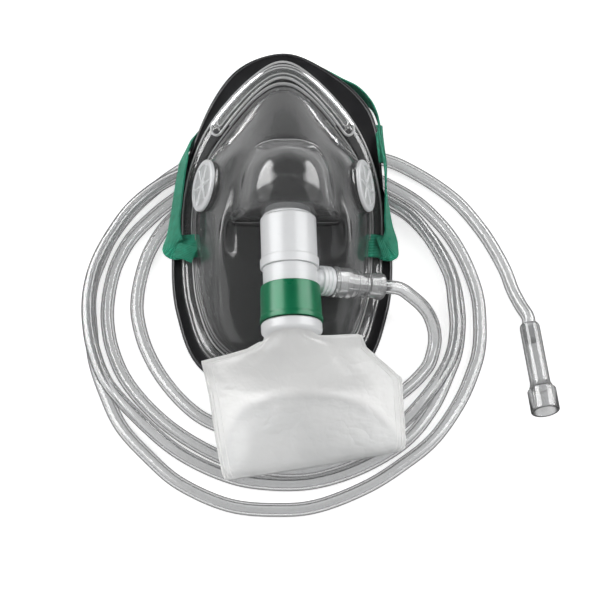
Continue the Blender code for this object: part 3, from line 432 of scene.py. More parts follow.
def make_white():
    made = material("white_moulded", (0.80, 0.81, 0.82), 0.34, Specular_IOR_Level=0.22)
    ramp(made, noise_of(made, 60), [(0.3, (0.78, 0.79, 0.80)), (0.7, (0.82, 0.83, 0.84))])
    spread(made, noise_of(made, 220), 0.24, 0.36)
    bumps(made, (noise_of(made, 700, 2.0), 0.08, 0.0003))
    return made


def make_green_plastic():
    made = material("green_moulded", (0.005, 0.15, 0.066), 0.3, Specular_IOR_Level=0.2)
    ramp(made, noise_of(made, 50), [(0.3, (0.003, 0.118, 0.050)), (0.7, (0.005, 0.148, 0.063))])
    spread(made, noise_of(made, 180), 0.24, 0.36)
    bumps(made, (noise_of(made, 500, 2.0), 0.06, 0.0003))
    return made


def make_black():
    made = material("black_liner_rubber", (0.007, 0.007, 0.008), 0.36, Specular_IOR_Level=0.16)
    ramp(made, noise_of(made, 70), [(0.3, (0.005, 0.005, 0.0055)), (0.7, (0.009, 0.009, 0.010))])
    spread(made, noise_of(made, 160), 0.30, 0.46)
    bumps(made, (noise_of(made, 900, 2.0), 0.12, 0.0003))
    return made


# A lighter grey rubber: a painted highlight for the line just inside the liner's edge.
def make_liner_edge_highlight():
    made = material("liner_edge_painted_highlight", (0.055, 0.055, 0.058), 0.3, Specular_IOR_Level=0.4)
    spread(made, noise_of(made, 130), 0.22, 0.4)
    return made


def make_metal():
    made = material("nose_clip_aluminium", (0.62, 0.66, 0.65), 0.3, Metallic=1.0)
    spread(made, noise_of(made, 400, 2.0, (1, 8, 1)), 0.14, 0.34)
    bumps(made, (noise_of(made, 500, 2.0, (1, 10, 1)), 0.15, 0.0002))
    return made


def make_film():
    """The bag's white film, finely wrinkled, with painted shade: greyer by a value on the mesh, below the arc
    across its lower part.
    """
    made = material("frosted_bag_film", (0.84, 0.84, 0.835), 0.34, Specular_IOR_Level=0.3)
    painted_shade = add_node(made, "ShaderNodeAttribute", attribute_name="painted_shade").outputs["Fac"]
    # The mottle is the film's own random tone; the mesh value added to it is painted shade.
    mottle_and_painted_shade = worked(made, "MULTIPLY_ADD", noise_of(made, 60, 5.0), 0.5, painted_shade)
    ramp(made, mottle_and_painted_shade, [(0.1, (0.83, 0.83, 0.82)), (0.4, (0.77, 0.77, 0.765)), (1.0, (0.56, 0.57, 0.57))])
    spread(made, noise_of(made, 120), 0.36, 0.5)
    place = coordinates(made)
    shake = add_node(made, "ShaderNodeTexNoise", Scale=45.0, Detail=4.0)
    wire(made, place, shake.inputs["Vector"])
    bent = add_node(made, "ShaderNodeMixRGB", blend_type="ADD", Fac=0.03)
    wire(made, place, bent.inputs["Color1"])
    wire(made, shake.outputs["Color"], bent.inputs["Color2"])
    crease_light_and_shade = add_node(made, "ShaderNodeTexVoronoi", feature="DISTANCE_TO_EDGE", Scale=85.0)
    wire(made, bent.outputs["Color"], crease_light_and_shade.inputs["Vector"])
    facet = worked(made, "MINIMUM", crease_light_and_shade.outputs["Distance"], 0.3)
    broad = noise_of(made, 70, 3.0, (0.5, 1.3, 1.0))
    fine = noise_of(made, 260, 4.0)
    bumps(made, (broad, 0.42, 0.0026), (facet, 0.27, 0.0022), (fine, 0.22, 0.0005))
    return made


def make_silicone(name, clearness):
    made = material(name, (0.80, 0.82, 0.82), 0.4, Transmission_Weight=clearness, IOR=1.41)
    spread(made, noise_of(made, 150), 0.34, 0.5)
    bumps(made, (noise_of(made, 400, 2.0), 0.08, 0.0003))
    return made


def make_elastic():
    """Woven elastic: fine cords along the strap, crossed by close threads, on a map in millimetres."""
    made = material("woven_elastic", (0.01, 0.24, 0.135), 0.75, Sheen_Weight=0.08, Sheen_Roughness=0.4)
    place = coordinates(made, "UV")
    bands = {"wave_type": "BANDS"}
    along = add_node(made, "ShaderNodeTexWave", bands_direction="X", Scale=0.62, Distortion=0.35, **bands)
    across = add_node(made, "ShaderNodeTexWave", bands_direction="Y", Scale=0.42, Distortion=0.2, **bands)
    blotch = add_node(made, "ShaderNodeTexNoise", Scale=0.35, Detail=4.0)
    for texture in (along, across, blotch):
        wire(made, place, texture.inputs["Vector"])
    woven = worked(made, "MULTIPLY", along.outputs["Fac"], across.outputs["Fac"])
    uneven = worked(made, "MULTIPLY", blotch.outputs["Fac"], 0.6)
    shade = worked(made, "ADD", worked(made, "MULTIPLY", woven, 0.55), uneven)
    ramp(made, shade, [(0.15, (0.005, 0.15, 0.082)), (0.75, (0.030, 0.42, 0.26))])
    bumps(made, (across.outputs["Fac"], 0.8, 0.0004), (along.outputs["Fac"], 0.8, 0.0004))
    return made


# The edge greys paint shade at the edges of the tubing, the connector and the hard clear parts, and a faint
# highlight at the edges of the shell, rim and ridges.
CLEAR = clear_plastic("clear_shell_plastic", 0.80, 0.84, 0.09, 0.94, waviness=0.05)
RIM_CLEAR = clear_plastic("clear_rim_plastic", 0.62, 0.66, 0.10, 0.88)
# The ridge materials are partly real ridges of the clear plastic and partly painted highlight: far paler and
# less clear than the shell, they stand in for the light that the ridges' edges catch.
PALE_RIDGE_HIGHLIGHT = clear_plastic("clear_ridge_painted_highlight", 0.70, 0.74, 0.2, 0.35)
SOFT_RIDGE_HIGHLIGHT = clear_plastic("clear_soft_ridge_painted_highlight", 0.55, 0.60, 0.22, 0.62)
HARD_CLEAR = clear_plastic("clear_hard_plastic", 0.84, 0.52, 0.08, 0.76, 1.40)
EDGE_SHADED_CLEAR = clear_plastic("clear_connector_plastic", 0.78, 0.10, 0.08, 0.86, 1.42, gloss=0.35)
TUBING = clear_plastic("clear_tubing", 0.82, 0.09, 0.08, 0.95, 1.42, gloss=0.28)
WHITE = make_white()
GREEN = make_green_plastic()
BLACK = make_black()
LINER_EDGE_HIGHLIGHT = make_liner_edge_highlight()
METAL = make_metal()
FILM = make_film()
SILICONE = make_silicone("milky_silicone", 0.35)
MILKY = make_silicone("milky_vent_plate", 0.45)
ELASTIC = make_elastic()


def add_mesh(name, verts, faces, finish, body=ROOT, sharp=35, uvs=None):
    """A mesh from points in millimetres, riding on a body."""
    data = bpy.data.meshes.new(name)
    data.from_pydata([Vector(v) * MM for v in verts], [], faces)
    if uvs is not None:
        layer = data.uv_layers.new(name="UVMap")
        for loop in data.loops:
            layer.data[loop.index].uv = uvs[loop.vertex_index]
    data.shade_smooth()
    data.set_sharp_from_angle(angle=radians(sharp))
    data.materials.append(finish)
    made = bpy.data.objects.new(name, data)
    bpy.context.scene.collection.objects.link(made)
    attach(made, body)
    return made


def through(points, pieces, closed=False):
    """A smooth line through the points, with that many pieces between each two of them."""
    points = [Vector(p) for p in points]
    if closed:
        around = [points[-1], *points, points[0], points[1]]
        spans = len(points)
    else:
        around = [2 * points[0] - points[1], *points, 2 * points[-1] - points[-2]]
        spans = len(points) - 1
    line = []
    for i in range(spans):
        a, b, c, d = around[i:i + 4]
        for k in range(pieces):
            t = k / pieces
            line.append((2 * b + (c - a) * t + (2 * a - 5 * b + 4 * c - d) * t ** 2
                         + (3 * b - a - 3 * c + d) * t ** 3) / 2)
    if not closed:
        line.append(points[-1])
    return line


def straight_through(points, pieces):
    line = []
    for a, b in zip(points, points[1:]):
        line += [a.lerp(b, k / pieces) for k in range(pieces)]
    return line + [points[-1]]


def loft(rings, ends=False):
    """Faces between closed rings of as many points each; ends closes the first and the last one."""
    count = len(rings[0])
    verts = [p for ring in rings for p in ring]
    faces = []
    for i in range(len(rings) - 1):
        for j in range(count):
            k = (j + 1) % count
            faces.append((i * count + j, i * count + k, (i + 1) * count + k, (i + 1) * count + j))
    if ends:
        faces.append(tuple(reversed(range(count))))
        faces.append(tuple((len(rings) - 1) * count + j for j in range(count)))
    return verts, faces


def turned(name, profile, finish, place, body=ROOT, soften=0.25):
    """A closed profile of (radius, height) turned about the frame's Z, its corners eased."""
    angles = [2 * pi * k / AROUND for k in range(AROUND)]
    verts = []
    for r, h in eased(profile, soften):
        r = max(r, AXIS_RADIUS)
        verts += [place @ Vector((r * cos(a), r * sin(a), h)) for a in angles]
    total = len(verts) // AROUND
    faces = []
    for i in range(total):
        n = (i + 1) % total
        for j in range(AROUND):
            k = (j + 1) % AROUND
            faces.append((i * AROUND + j, n * AROUND + j, n * AROUND + k, i * AROUND + k))
    made = add_mesh(name, verts, faces, finish, body, 30)
    outward(made)
    return made


def outward(made):
    """Points that meet are merged, and the faces turned to look out."""
    bm = bmesh.new()
    bm.from_mesh(made.data)
    bmesh.ops.remove_doubles(bm, verts=bm.verts, dist=0.000001)
    bmesh.ops.recalc_face_normals(bm, faces=bm.faces)
    bm.to_mesh(made.data)
    bm.free()


def eased(profile, soften):
    """The profile with each corner cut back by soften, so that its edges catch the light."""
    out = []
    count = len(profile)
    for i in range(count):
        b = Vector((*profile[i], 0))
        a = Vector((*profile[i - 1], 0))
        c = Vector((*profile[(i + 1) % count], 0))
        if b.x < 0.01:
            out.append((b.x, b.y))
            continue
        back = min(soften, (a - b).length / 3)
        on = min(soften, (c - b).length / 3)
        p = b + (a - b).normalized() * back
        q = b + (c - b).normalized() * on
        out.append((p.x, p.y))
        m = b.lerp((p + q) / 2, 0.42)
        out.append((m.x, m.y))
        out.append((q.x, q.y))
    return out


def pipe(name, path, radius, finish, sides):
    """A round rod along a path, its ends closed."""
    rings = []
    side = None
    last = len(path) - 1
    for i, p in enumerate(path):
        along = (path[min(i + 1, last)] - path[max(i - 1, 0)]).normalized()
        if side is None:
            side = along.orthogonal().normalized()
        else:
            side = (side - along * side.dot(along)).normalized()
        rise = along.cross(side).normalized()
        rings.append([p + (side * cos(2 * pi * k / sides) + rise * sin(2 * pi * k / sides)) * radius
                      for k in range(sides)])
    verts, faces = loft(rings, ends=True)
    made = add_mesh(name, verts, faces, finish)
    outward(made)
    return made


def whole_ring(half):
    """Both sides of the mask from the outline of its right half."""
    return list(half) + [(-x, y, z) for x, y, z in reversed(half[1:-1])]


def shell_rows(with_edge=False):
    """The shell's outer skin as rings of points on the mask, from the rim to near the nose tip."""
    levels = [[on_mask(*p) for p in whole_ring(half)] for half in CAGE]
    if with_edge:
        right, left = LINER_EDGE
        edge = right + tuple(reversed(left))
        levels.insert(0, [on_mask(x, y, rim[2]) for (x, y), rim in zip(edge, whole_ring(CAGE[0]))])
    levels = [through(level, SKIN_COLUMNS, closed=True) for level in levels]
    tip = on_mask(*NOSE_TIP)
    strands = [through([level[j] for level in levels] + [tip], SKIN_ROWS) for j in range(len(levels[0]))]
    return [[strand[i] for strand in strands] for i in range(len(strands[0]) - 1)], tip


def ring_normals(rings):
    """The direction out of the skin at each point of its rings."""
    verts, faces = loft(rings)
    bm = bmesh.new()
    made = [bm.verts.new(v) for v in verts]
    for face in faces:
        bm.faces.new([made[i] for i in face])
    bm.normal_update()
    count = len(rings[0])
    normals = [[made[i * count + j].normal.copy() for j in range(count)] for i in range(len(rings))]
    middle = Vector((0, 15, 0))
    half = len(rings) // 2
    if normals[half][0].dot(rings[half][0] - middle) < 0:
        normals = [[-n for n in row] for row in normals]
    bm.free()
    return normals


def moved_in(rings, depths):
    """The rings moved into the skin, each by its own depth."""
    return [[p - n * depth for p, n in zip(ring, row)]
            for ring, row, depth in zip(rings, ring_normals(rings), depths)]


def skin_piece(name, rings, tip, wall, finish):
    """A closed skin: the rings outside, and the same ones moved in by the wall."""
    count = len(rings[0])
    inner = moved_in(rings, [wall] * len(rings))
    verts = [MASK_FRAME @ p for ring in rings for p in ring] + [MASK_FRAME @ tip]
    start = len(verts)
    verts += [MASK_FRAME @ p for ring in inner for p in ring] + [MASK_FRAME @ (tip - Vector((0, 0, wall)))]
    faces = []
    for base, flip in ((0, False), (start, True)):
        for i in range(len(rings) - 1):
            low = base + i * count
            high = low + count
            for j in range(count):
                k = (j + 1) % count
                quad = (low + j, high + j, high + k, low + k)
                faces.append(quad[::-1] if flip else quad)
        top = base + len(rings) * count
        last = top - count
        for j in range(count):
            k = (j + 1) % count
            tri = (last + j, top, last + k)
            faces.append(tri[::-1] if flip else tri)
    for j in range(count):
        k = (j + 1) % count
        faces.append((j, k, start + k, start + j))
    made = add_mesh(name, verts, faces, finish, ROOT, 50)
    outward(made)
    return made


def face_shell():
    """The clear shell with its bead, the band and lines along its rim, and rods along each crease: black for
    painted shade and pale for painted highlight.
    """
    rings, tip = shell_rows()
    shell = skin_piece("shell_skin", rings, tip, SHELL_WALL, CLEAR)
    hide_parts("mask_shell")
    low, high = rings[0], rings[RIM_ROW]

    def at_share(share, up):
        return [MASK_FRAME @ (p.lerp(q, share) + Vector((0, 0, up))) for p, q in zip(low, high)]

    def at_row(row, up):
        below = int(row)
        return [MASK_FRAME @ (p.lerp(q, row - below) + Vector((0, 0, up)))
                for p, q in zip(rings[below], rings[below + 1])]

    closed_pipe("shell_rim_bead", at_share(0.14, 0.1), 1.25, RIM_CLEAR)
    corners = ((0.1, 1.1), (0.45, 0.95), (0.8, 0.55), (0.8, 0.2), (0.1, 0.2), (0.1, 1.1))
    strip = loft([at_share(share, up) for share, up in corners])
    outward(add_mesh("shell_rim_band", *strip, RIM_CLEAR))
    closed_pipe("shell_rim_line_outer", at_share(0.08, 1.0), 0.45, rim_painted_highlight(), 10)
    closed_pipe("shell_rim_line_inner", at_row(5.7, 0.25), 0.36, PALE_RIDGE_HIGHLIGHT, 10)
    closed_pipe("shell_rim_line_second", at_row(7.4, 0.15), 0.30, SOFT_RIDGE_HIGHLIGHT, 10)
    closed_pipe("shell_rim_line_third", at_row(8.8, 0.1), 0.26, SOFT_RIDGE_HIGHLIGHT, 10)
    chin = len(low) // 2
    # Painted shade and highlight along the nose and ledge creases: a black rubber rod draws the dark line, a
    # pale ridge rod the light one.
    crease_light_and_shade = (("nose_painted_highlight", 36, 0, 15, PALE_RIDGE_HIGHLIGHT), ("nose_painted_shade", 35, 0, 14, BLACK),
               ("ledge_painted_shade", 36, chin, 23, BLACK), ("ledge_painted_highlight", 37, chin, 23, SOFT_RIDGE_HIGHLIGHT))
    for name, row, middle, span, finish in crease_light_and_shade:
        crease = [MASK_FRAME @ (rings[row][(middle + j) % len(low)] + Vector((0, 0, 0.05)))
                  for j in range(-span, span + 1)]
        pipe("shell_crease_" + name, crease, 0.2, finish, sides=8)
    return rings


def closed_pipe(name, path, radius, finish, sides=16, body=ROOT):
    """A round rod along a path that runs back into itself."""
    rings = []
    count = len(path)
    for i, p in enumerate(path):
        along = (path[(i + 1) % count] - path[i - 1]).normalized()
        side = along.cross(Vector((0, 0, 1))).normalized()
        rise = along.cross(side).normalized()
        rings.append([p + (side * cos(2 * pi * k / sides) + rise * sin(2 * pi * k / sides)) * radius
                      for k in range(sides)])
    rings.append(rings[0])
    verts, faces = loft(rings)
    made = add_mesh(name, verts, faces, finish, body)
    outward(made)
    return made


def liner():
    """The black liner under the shell, deeper past the rim, with the bead and line of its edge."""
    rings, tip = shell_rows(with_edge=True)
    shares = [min(max((i - 2 * SKIN_ROWS) / SKIN_ROWS, 0), 1) for i in range(len(rings))]
    moved = moved_in(rings, [LINER_GAP + LINER_SINK * share for share in shares])
    made = skin_piece("liner_skin", moved, tip - Vector((0, 0, LINER_GAP + LINER_SINK)), LINER_WALL, BLACK)
    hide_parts("face_liner")
    edge = [MASK_FRAME @ (p + Vector((0, 0, -0.55))) for p in moved[0]]
    closed_pipe("liner_edge_bead", edge, 0.62, BLACK)
    # The line just inside the edge is lighter grey rubber: a painted highlight.
    inside = [MASK_FRAME @ (p.lerp(q, 0.5) + Vector((0, 0, 0.05))) for p, q in zip(moved[0], moved[1])]
    closed_pipe("liner_edge_line", inside, 0.28, LINER_EDGE_HIGHLIGHT, 10)


SHELL_RINGS = face_shell()
liner()


def shell_tree():
    verts, faces = loft(SHELL_RINGS)
    return BVHTree.FromPolygons([tuple(v) for v in verts], faces)


TREE = shell_tree()


def wall_frame(side):
    """Where a vent sits on the side wall: Z out of the wall, Y towards the nose bridge."""
    x, y, z = VENT_PLACE
    point, normal = TREE.find_nearest(on_mask(side * x, y, z))[:2]
    if normal.x * side < 0:
        normal = -normal
    across = Vector((0, 1, 0)).cross(normal).normalized()
    made = Matrix((across, normal.cross(across), normal)).transposed().to_4x4()
    made.translation = point
    return MASK_FRAME @ made


def vents():
    for side, word in ((-1, "left"), (1, "right")):
        place = wall_frame(side)
        turned("vent_seat_" + word, VENT_SEAT, RIM_CLEAR, place)
        flap = turned("vent_film_" + word, VENT_FILM, SILICONE, place, soften=0.15)
        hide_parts("vent_flap_" + word)
        guard = turned("vent_cover_" + word, VENT_COVER, WHITE, place)
        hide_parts("vent_guard_" + word)
        turned("vent_hub_" + word, VENT_HUB, WHITE, place)
        turned("vent_plate_" + word, VENT_PLATE, MILKY, place, soften=0.1)
        for k in range(VENT_SPOKES):
            spin = place @ Matrix.Rotation(2 * pi * k / VENT_SPOKES, 4, "Z")
            path = [spin @ Vector((x, 0, SPOKE_HEIGHT)) for x in (1.8, 5.2, 9.2)]
            pipe(f"vent_spoke_{word}_{k}", path, 0.62, WHITE, sides=10)


def tee_pieces():
    sleeve = turned("sleeve_body", SLEEVE, WHITE, TEE_FRAME)
    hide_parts("port_sleeve")
    turned("sleeve_top_ring", SLEEVE_RING, WHITE, TEE_FRAME)
    tee = turned("tee_cylinder", TEE, WHITE, TEE_FRAME)
    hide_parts("tee_body")
    stub = [(3.6, STUB_START), (4.6, 12.0), (4.6, RIB_START)]
    for k in range(STUB_RIBS):
        rise = RIB_START + RIB_PITCH * k
        stub += [(RIB_RADIUS, rise), (RIB_RADIUS, rise + RIB_LENGTH),
                 (RIB_ROOT, rise + RIB_LENGTH), (RIB_ROOT, rise + RIB_PITCH)]
    stub += [(3.2, 18.6), (3.2, STUB_END)]
    outline = [(STUB_BORE, STUB_END), *reversed(stub), (STUB_BORE, STUB_START)]
    turned("tee_side_stub", outline, WHITE, ARM_FRAME, soften=0.18)
    collar = turned("collar_sleeve", COLLAR, GREEN, TEE_FRAME)
    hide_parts("bag_collar")
    ring = turned("bag_neck_ring", NECK_RING, WHITE, TEE_FRAME, soften=0.5)
    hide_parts("bag_ring")


def swivel_pieces():
    body = turned("swivel_body", SWIVEL, HARD_CLEAR, ARM_FRAME, TURNING)
    angles = [2 * pi * k / 48 for k in range(48)]
    for rise, radius in SWIVEL_RINGS:
        ring = [ARM_FRAME @ Vector((radius * cos(a), radius * sin(a), rise)) for a in angles]
        closed_pipe(f"swivel_ring_{round(rise * 10)}", ring, 0.24, SOFT_RIDGE_HIGHLIGHT, 8, TURNING)
    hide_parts("swivel_connector")
    cuff = turned("cuff_body", CUFF, HARD_CLEAR, ARM_FRAME, TURNING)
    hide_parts("tube_cuff")


def connector():
    """The soft connector at the tube's far end, its socket open to the end."""
    length = (CONNECTOR_END - CONNECTOR_START).length
    bore = length - CONNECTOR_DEPTH
    made = turned("outlet_connector", [
        (5.85, length), (6.15, length - 0.3), (6.15, length - 9.8), (5.35, length - 10.6),
        (4.7, length - 12.1), (4.35, length - 13), (4.35, 1.2), (3.9, 0), (3.2, 0), (3.2, bore), (4.8, bore),
        (4.8, length)], EDGE_SHADED_CLEAR, CONNECTOR_FRAME)
    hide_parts("tube_connector")
    return made


def oxygen_tube(end_piece):
    """The free tube on its route, and the lumen inside it."""
    start = [ARM_FRAME @ Vector((0, 0, CUFF_END + out)) for out in (TUBE_START, TUBE_STRAIGHT)]
    end = [CONNECTOR_FRAME @ Vector((0, 0, out)) for out in (-TUBE_STRAIGHT / 2, 0, TUBE_STRAIGHT)]
    middle = [ORIGIN @ Vector(p) for p in TUBE_ROUTE]
    line = through(start + middle + end, 8)
    reach = sum((b - a).length for a, b in zip(line, line[1:]))
    data = bpy.data.curves.new("supply_tube", "CURVE")
    data.dimensions = "3D"
    data.bevel_depth = TUBE_RADIUS * MM
    data.bevel_resolution = 6
    data.use_fill_caps = True
    spline = data.splines.new("POLY")
    spline.points.add(len(line) - 1)
    for point, place in zip(spline.points, line):
        point.co = (*(place * MM), 1)
    data.materials.append(TUBING)
    tube = bpy.data.objects.new("supply_tube", data)
    bpy.context.scene.collection.objects.link(tube)
    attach(tube, ROOT)
    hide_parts("oxygen_tube")
    lumen = pipe("tube_lumen", line[1:-1], LUMEN_RADIUS, TUBING, sides=20)
    lumen.data.flip_normals()


def strap():
    """The strap in one length: laced through one slot, round the back and through the other."""
    def laced(side):
        x, y, z = SLOT_PLACE
        return [(MASK_FRAME @ (on_mask(side * (x + out), y, z) + Vector((0, 0, up))), Vector((0, 1, 0)))
                for out, up in STRAP_LACING]

    run = [(ORIGIN @ Vector((x, y * STRETCH.y, z)), Vector(wide).normalized())
           for (x, y, z), wide in STRAP_RUN]
    stations = laced(1) + run + laced(-1)[::-1]
    middles = through([middle for middle, wide in stations], 10)
    widths = through([wide for middle, wide in stations], 10)
    made = band("strap_webbing", middles, widths, STRAP_WIDTH, STRAP_THICK)
    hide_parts("head_strap")
    for name, wide, places in STRAP_FOLDS:
        line = through([ORIGIN @ Vector(p) for p in places], 8)
        across = Vector(wide)
        band("strap_fold_" + name, line, [across.normalized()] * len(line), across.length, FOLD_THICK)


def band(name, middles, widths, width, thick, finish=ELASTIC):
    """A flat woven band along a line, its edges rounded, with a UV map in millimetres."""
    half, r = width / 2, thick / 2
    section = [(-half + r + 2 * (half - r) * k / 8, r) for k in range(9)]
    section += [(half - r + r * 0.7, r * 0.7), (half, 0), (half - r + r * 0.7, -r * 0.7)]
    section += [(half - r - 2 * (half - r) * k / 8, -r) for k in range(9)]
    section += [(-half + r * 0.3, -r * 0.7), (-half, 0), (-half + r * 0.3, r * 0.7)]
    rings = []
    uvs = []
    run = 0.0
    last = len(middles) - 1
    for i, (middle, wide) in enumerate(zip(middles, widths)):
        if i:
            run += (middle - middles[i - 1]).length
        along = (middles[min(i + 1, last)] - middles[max(i - 1, 0)]).normalized()
        across = (wide - along * wide.dot(along)).normalized()
        up = along.cross(across).normalized()
        rings.append([middle + across * a + up * b for a, b in section])
        uvs += [(run, a) for a, b in section]
    verts, faces = loft(rings, ends=True)
    return add_mesh(name, verts, faces, finish, uvs=uvs)


def bag():
    """The empty bag: gathered on the ring, with long soft folds from its neck and a flat welded edge."""
    centre = TEE_FRAME @ Vector((0, 0, RING_LOW))
    drawn = ORIGIN @ Vector(BAG_DRAWN_NECK)
    shift = centre - drawn
    angles = [2 * pi * k / BAG_AROUND for k in range(BAG_AROUND)]
    side = TEE_FRAME.to_3x3() @ Vector((1, 0, 0))
    rise = TEE_FRAME.to_3x3() @ Vector((0, -1, 0))
    down = TEE_FRAME.to_3x3() @ Vector((0, 0, -1))
    sections = [[centre + (side * -cos(a) + rise * sin(a)) * BAG_NECK - down * BAG_TUCK for a in angles]]
    for i, (left, right, middle, half) in enumerate(BAG_ROWS):
        fade = 1 - (i + 1) / len(BAG_ROWS)
        left, right, middle = (ORIGIN @ Vector(p) + shift * fade for p in (left, right, middle))
        bow = middle - (left + right) / 2
        section = []
        for a in angles:
            point = left.lerp(right, (1 - cos(a)) / 2) + bow * sin(a) ** 2
            swell = half * sin(a) * abs(sin(a)) ** BAG_FLATNESS
            section.append(point + Vector((0, 0, swell)))
        sections.append(section)
    strands = []
    for k, a in enumerate(angles):
        soft = through([section[k] for section in sections], BAG_STEPS)
        straight = straight_through([section[k] for section in sections], BAG_STEPS)
        sharp = abs(cos(a)) ** 10
        strands.append([p.lerp(q, sharp) for p, q in zip(soft, straight)])
    rings = [[strand[i] for strand in strands] for i in range(len(strands[0]))]
    total = len(rings) - 1
    # Painted shade: a grey share for each point, rising past the arc across the bag's lower part.
    painted_shade = []
    for i, ring in enumerate(rings):
        t = i / total
        for k, a in enumerate(angles):
            across = (1 - cos(a)) / 2
            top = sin(a)
            fan = (across - 0.5) * 2
            pleat = sin(fan * 9 + 1.3 * sin(fan * 4)) + 0.6 * sin(fan * 17 + 2)
            pleat += 0.5 * abs(sin(fan * 14 - 3 * t))
            near = exp(-((t - 0.2) / 0.17) ** 2) * 0.95
            soft = noise.noise(Vector((fan * 2.2, t * 3.5, 0.3))) * 1.3 * min(1, t * 4) * min(1, (1 - t) * 6)
            past = t - BAG_FOLD - 0.30 * fan ** 2
            ridge = 0.7 * exp(-(past / 0.04) ** 2) * max(0, 1 - fan ** 4)
            painted_shade.append(min(max(past / 0.06 + 0.5, 0), 1) * 0.45)
            if top > 0:
                lift = (near * pleat + soft + ridge) * min(1, top * 2.5)
                ring[k] = ring[k] + Vector((0, 0, lift))
    verts, faces = loft(rings, ends=True)
    made = add_mesh("bag_film", verts, faces, FILM, sharp=60)
    layer = made.data.attributes.new("painted_shade", "FLOAT", "POINT")
    for value, share in zip(layer.data, painted_shade):
        value.value = share
    outward(made)
    for name, k, first, radius in BAG_SEAMS:
        line = [ring[k] + Vector((0, 0, 0.1)) for ring in rings[first:-2]]
        pipe("bag_seam_" + name, line, radius, FILM, sides=8)
    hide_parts("reservoir_bag")


def nose_piece():
    """The bent metal strip under its clear holder, with a loop at each end of the holder."""
    low, high = SHELL_RINGS[0], SHELL_RINGS[RIM_ROW]
    count = len(low)

    def along(share, up, span):
        """A line beside the rim round the nose bridge, at a share of the rim's width and that far up."""
        line = []
        for j in range(-span, span + 1):
            rim, inner = low[j % count], high[j % count]
            normal = (inner - rim).normalized()
            tangent = (low[(j + 1) % count] - low[j - 1]).normalized()
            out = normal.cross(tangent)
            out = out if out.z > 0 else -out
            line.append(MASK_FRAME @ (rim.lerp(inner, share) + out.normalized() * up))
        return line

    def loop_round(offset, up, span):
        """A closed line round the strip, that far to each side of its middle, with round ends."""
        middle = along(0.5, up, span)
        across = [(b - a).normalized() for a, b in zip(middle, along(0.8, up, span))]
        line = [m - a * offset for m, a in zip(middle, across)]
        for end, before, flip in ((-1, -2, 1), (0, 1, -1)):
            on = (middle[end] - middle[before]).normalized()
            for k in range(1, 8):
                angle = pi * k / 8
                line.append(middle[end] + on * sin(angle) * offset - across[end] * cos(angle) * offset * flip)
            if end == -1:
                line += [m + a * offset for m, a in reversed(list(zip(middle, across)))]
        return line

    strip_mid = along(0.5, 0.75, 16)
    widths = [(b - a).normalized() for a, b in zip(strip_mid, along(0.8, 0.9, 16))]
    made = band("clip_strip", strip_mid, widths, 4.6, 0.6, METAL)
    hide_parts("nose_clip")
    wide_mid = along(0.5, 0.95, 17)
    widths = [(b - a).normalized() for a, b in zip(wide_mid, along(0.8, 0.95, 17))]
    band("clip_sleeve", wide_mid, widths, 6.2, 1.9, RIM_CLEAR)
    closed_pipe("clip_holder_edge", loop_round(3.2, 1.1, 17), 0.62, PALE_RIDGE_HIGHLIGHT, 12)
    closed_pipe("clip_holder_line", loop_round(1.5, 1.95, 16), 0.28, PALE_RIDGE_HIGHLIGHT, 10)
    pipe("clip_lower_line", along(0.95, 0.9, 15), 0.45, PALE_RIDGE_HIGHLIGHT, sides=10)
    pipe("clip_upper_line", along(0.14, 1.3, 15), 0.32, PALE_RIDGE_HIGHLIGHT, sides=10)


vents()
tee_pieces()
swivel_pieces()
oxygen_tube(connector())
strap()
bag()
nose_piece()

for name, finish in (("inlet_valve_disc", SILICONE), ("valve_seat", WHITE)):
    node = frame["nodes"][name]
    for slot in node.material_slots:
        slot.material = finish


def floor():
    """The surface, lit by the lamps and white to the eye."""
    data = bpy.data.meshes.new("floor")
    corners = [(-1, -1), (1, -1), (1, 1), (-1, 1)]
    data.from_pydata([(x * FLOOR_HALF, y * FLOOR_HALF, 0) for x, y in corners], [], [(0, 1, 2, 3)])
    made = bpy.data.objects.new("floor", data)
    bpy.context.scene.collection.objects.link(made)
    finish = bpy.data.materials.new("floor_white")
    finish.use_nodes = True
    shader = shader_of(finish)
    shader.inputs["Roughness"].default_value = 0.9
    shader.inputs["Specular IOR Level"].default_value = 0.0
    path = add_node(finish, "ShaderNodeLightPath")
    spread(finish, path.outputs["Is Glossy Ray"], 0.9, 0.55, "Base Color")
    seen = worked(finish, "MAXIMUM", path.outputs["Is Camera Ray"], path.outputs["Is Transmission Ray"])
    shader.inputs["Emission Color"].default_value = (1, 1, 1, 1)
    wire(finish, worked(finish, "MULTIPLY", seen, FLOOR_GLOW), shader.inputs["Emission Strength"])
    data.materials.append(finish)


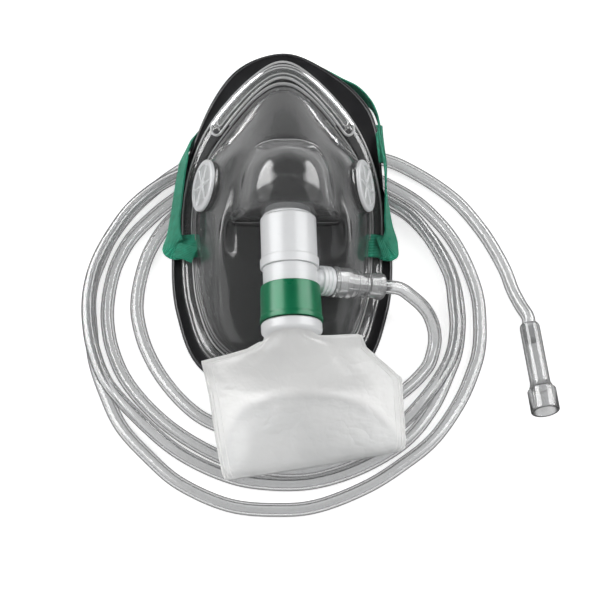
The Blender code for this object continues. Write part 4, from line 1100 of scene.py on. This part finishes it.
def world():
    """White behind the object; reflections see a dim ceiling between two large pale boxes at the sides."""
    made = bpy.data.worlds.new("studio")
    bpy.context.scene.world = made
    made.use_nodes = True
    background = made.node_tree.nodes["Background"]
    background.inputs["Color"].default_value = (1, 1, 1, 1)
    path = add_node(made, "ShaderNodeLightPath")
    apart = add_node(made, "ShaderNodeSeparateXYZ")
    wire(made, coordinates(made, "Generated"), apart.inputs["Vector"])
    across, ahead, up = apart.outputs
    above = rising(made, up, 0.02, 0.30, 0.0, 1.0)
    behind = rising(made, ahead, -0.40, -0.05, 0.1, 1.0)

    def either(which, no, yes):
        step = add_node(made, "ShaderNodeMix", data_type="FLOAT")
        wire(made, path.outputs[which], step.inputs[0])
        wire(made, no, step.inputs[2])
        if isinstance(yes, float):
            step.inputs[3].default_value = yes
        else:
            wire(made, yes, step.inputs[3])
        return step.outputs[0]

    def box(side, light):
        out = worked(made, "MULTIPLY", across, side)
        coming = rising(made, out, BOX_START - BOX_SOFTNESS, BOX_START + BOX_SOFTNESS, 0.0, light)
        going = rising(made, out, BOX_END - BOX_SOFTNESS, BOX_END + BOX_SOFTNESS, 1.0, 0.0)
        inside = worked(made, "MULTIPLY", coming, going)
        return worked(made, "MULTIPLY", inside, worked(made, "MULTIPLY", above, behind))

    room = rising(made, worked(made, "ABSOLUTE", across), 0.15, 0.75, 0.62, 0.36)
    boxes = worked(made, "ADD", box(-1.0, LEFT_BOX), box(1.0, RIGHT_BOX))
    light = either("Is Glossy Ray", room, worked(made, "ADD", boxes, CEILING))
    light = either("Is Transmission Ray", light, rising(made, up, 0.02, 0.35, 1.0, 0.12))
    wire(made, either("Is Camera Ray", light, 1.0), background.inputs["Strength"])


def lamp(name, side, power):
    """A tall lamp beside the object, which reflections don't see."""
    data = bpy.data.lights.new(name, "AREA")
    data.shape = "RECTANGLE"
    data.size, data.size_y = LAMP_SIZE
    data.energy = power
    made = bpy.data.objects.new(name, data)
    x, y, z = LAMP_PLACE
    made.location = (side * x, y, z)
    made.rotation_euler = (made.location - Vector(LAMP_AIM)).to_track_quat("Z", "Y").to_euler()
    made.visible_glossy = False
    bpy.context.scene.collection.objects.link(made)


def camera():
    data = bpy.data.cameras.new("camera")
    data.sensor_width = CAMERA_SENSOR
    data.lens = CAMERA_SENSOR * CAMERA_DISTANCE / SEEN_WIDTH
    made = bpy.data.objects.new("camera", data)
    back = Vector((0, -cos(CAMERA_ELEVATION), sin(CAMERA_ELEVATION)))
    made.location = CAMERA_TARGET + back * CAMERA_DISTANCE
    made.rotation_euler = (radians(90) - CAMERA_ELEVATION, 0, 0)
    bpy.context.scene.collection.objects.link(made)
    bpy.context.scene.camera = made


floor()
world()
lamp("left_box", -1, 3.0)
lamp("right_box", 1, 2.6)
camera()
bpy.context.scene.view_settings.view_transform = "Standard"
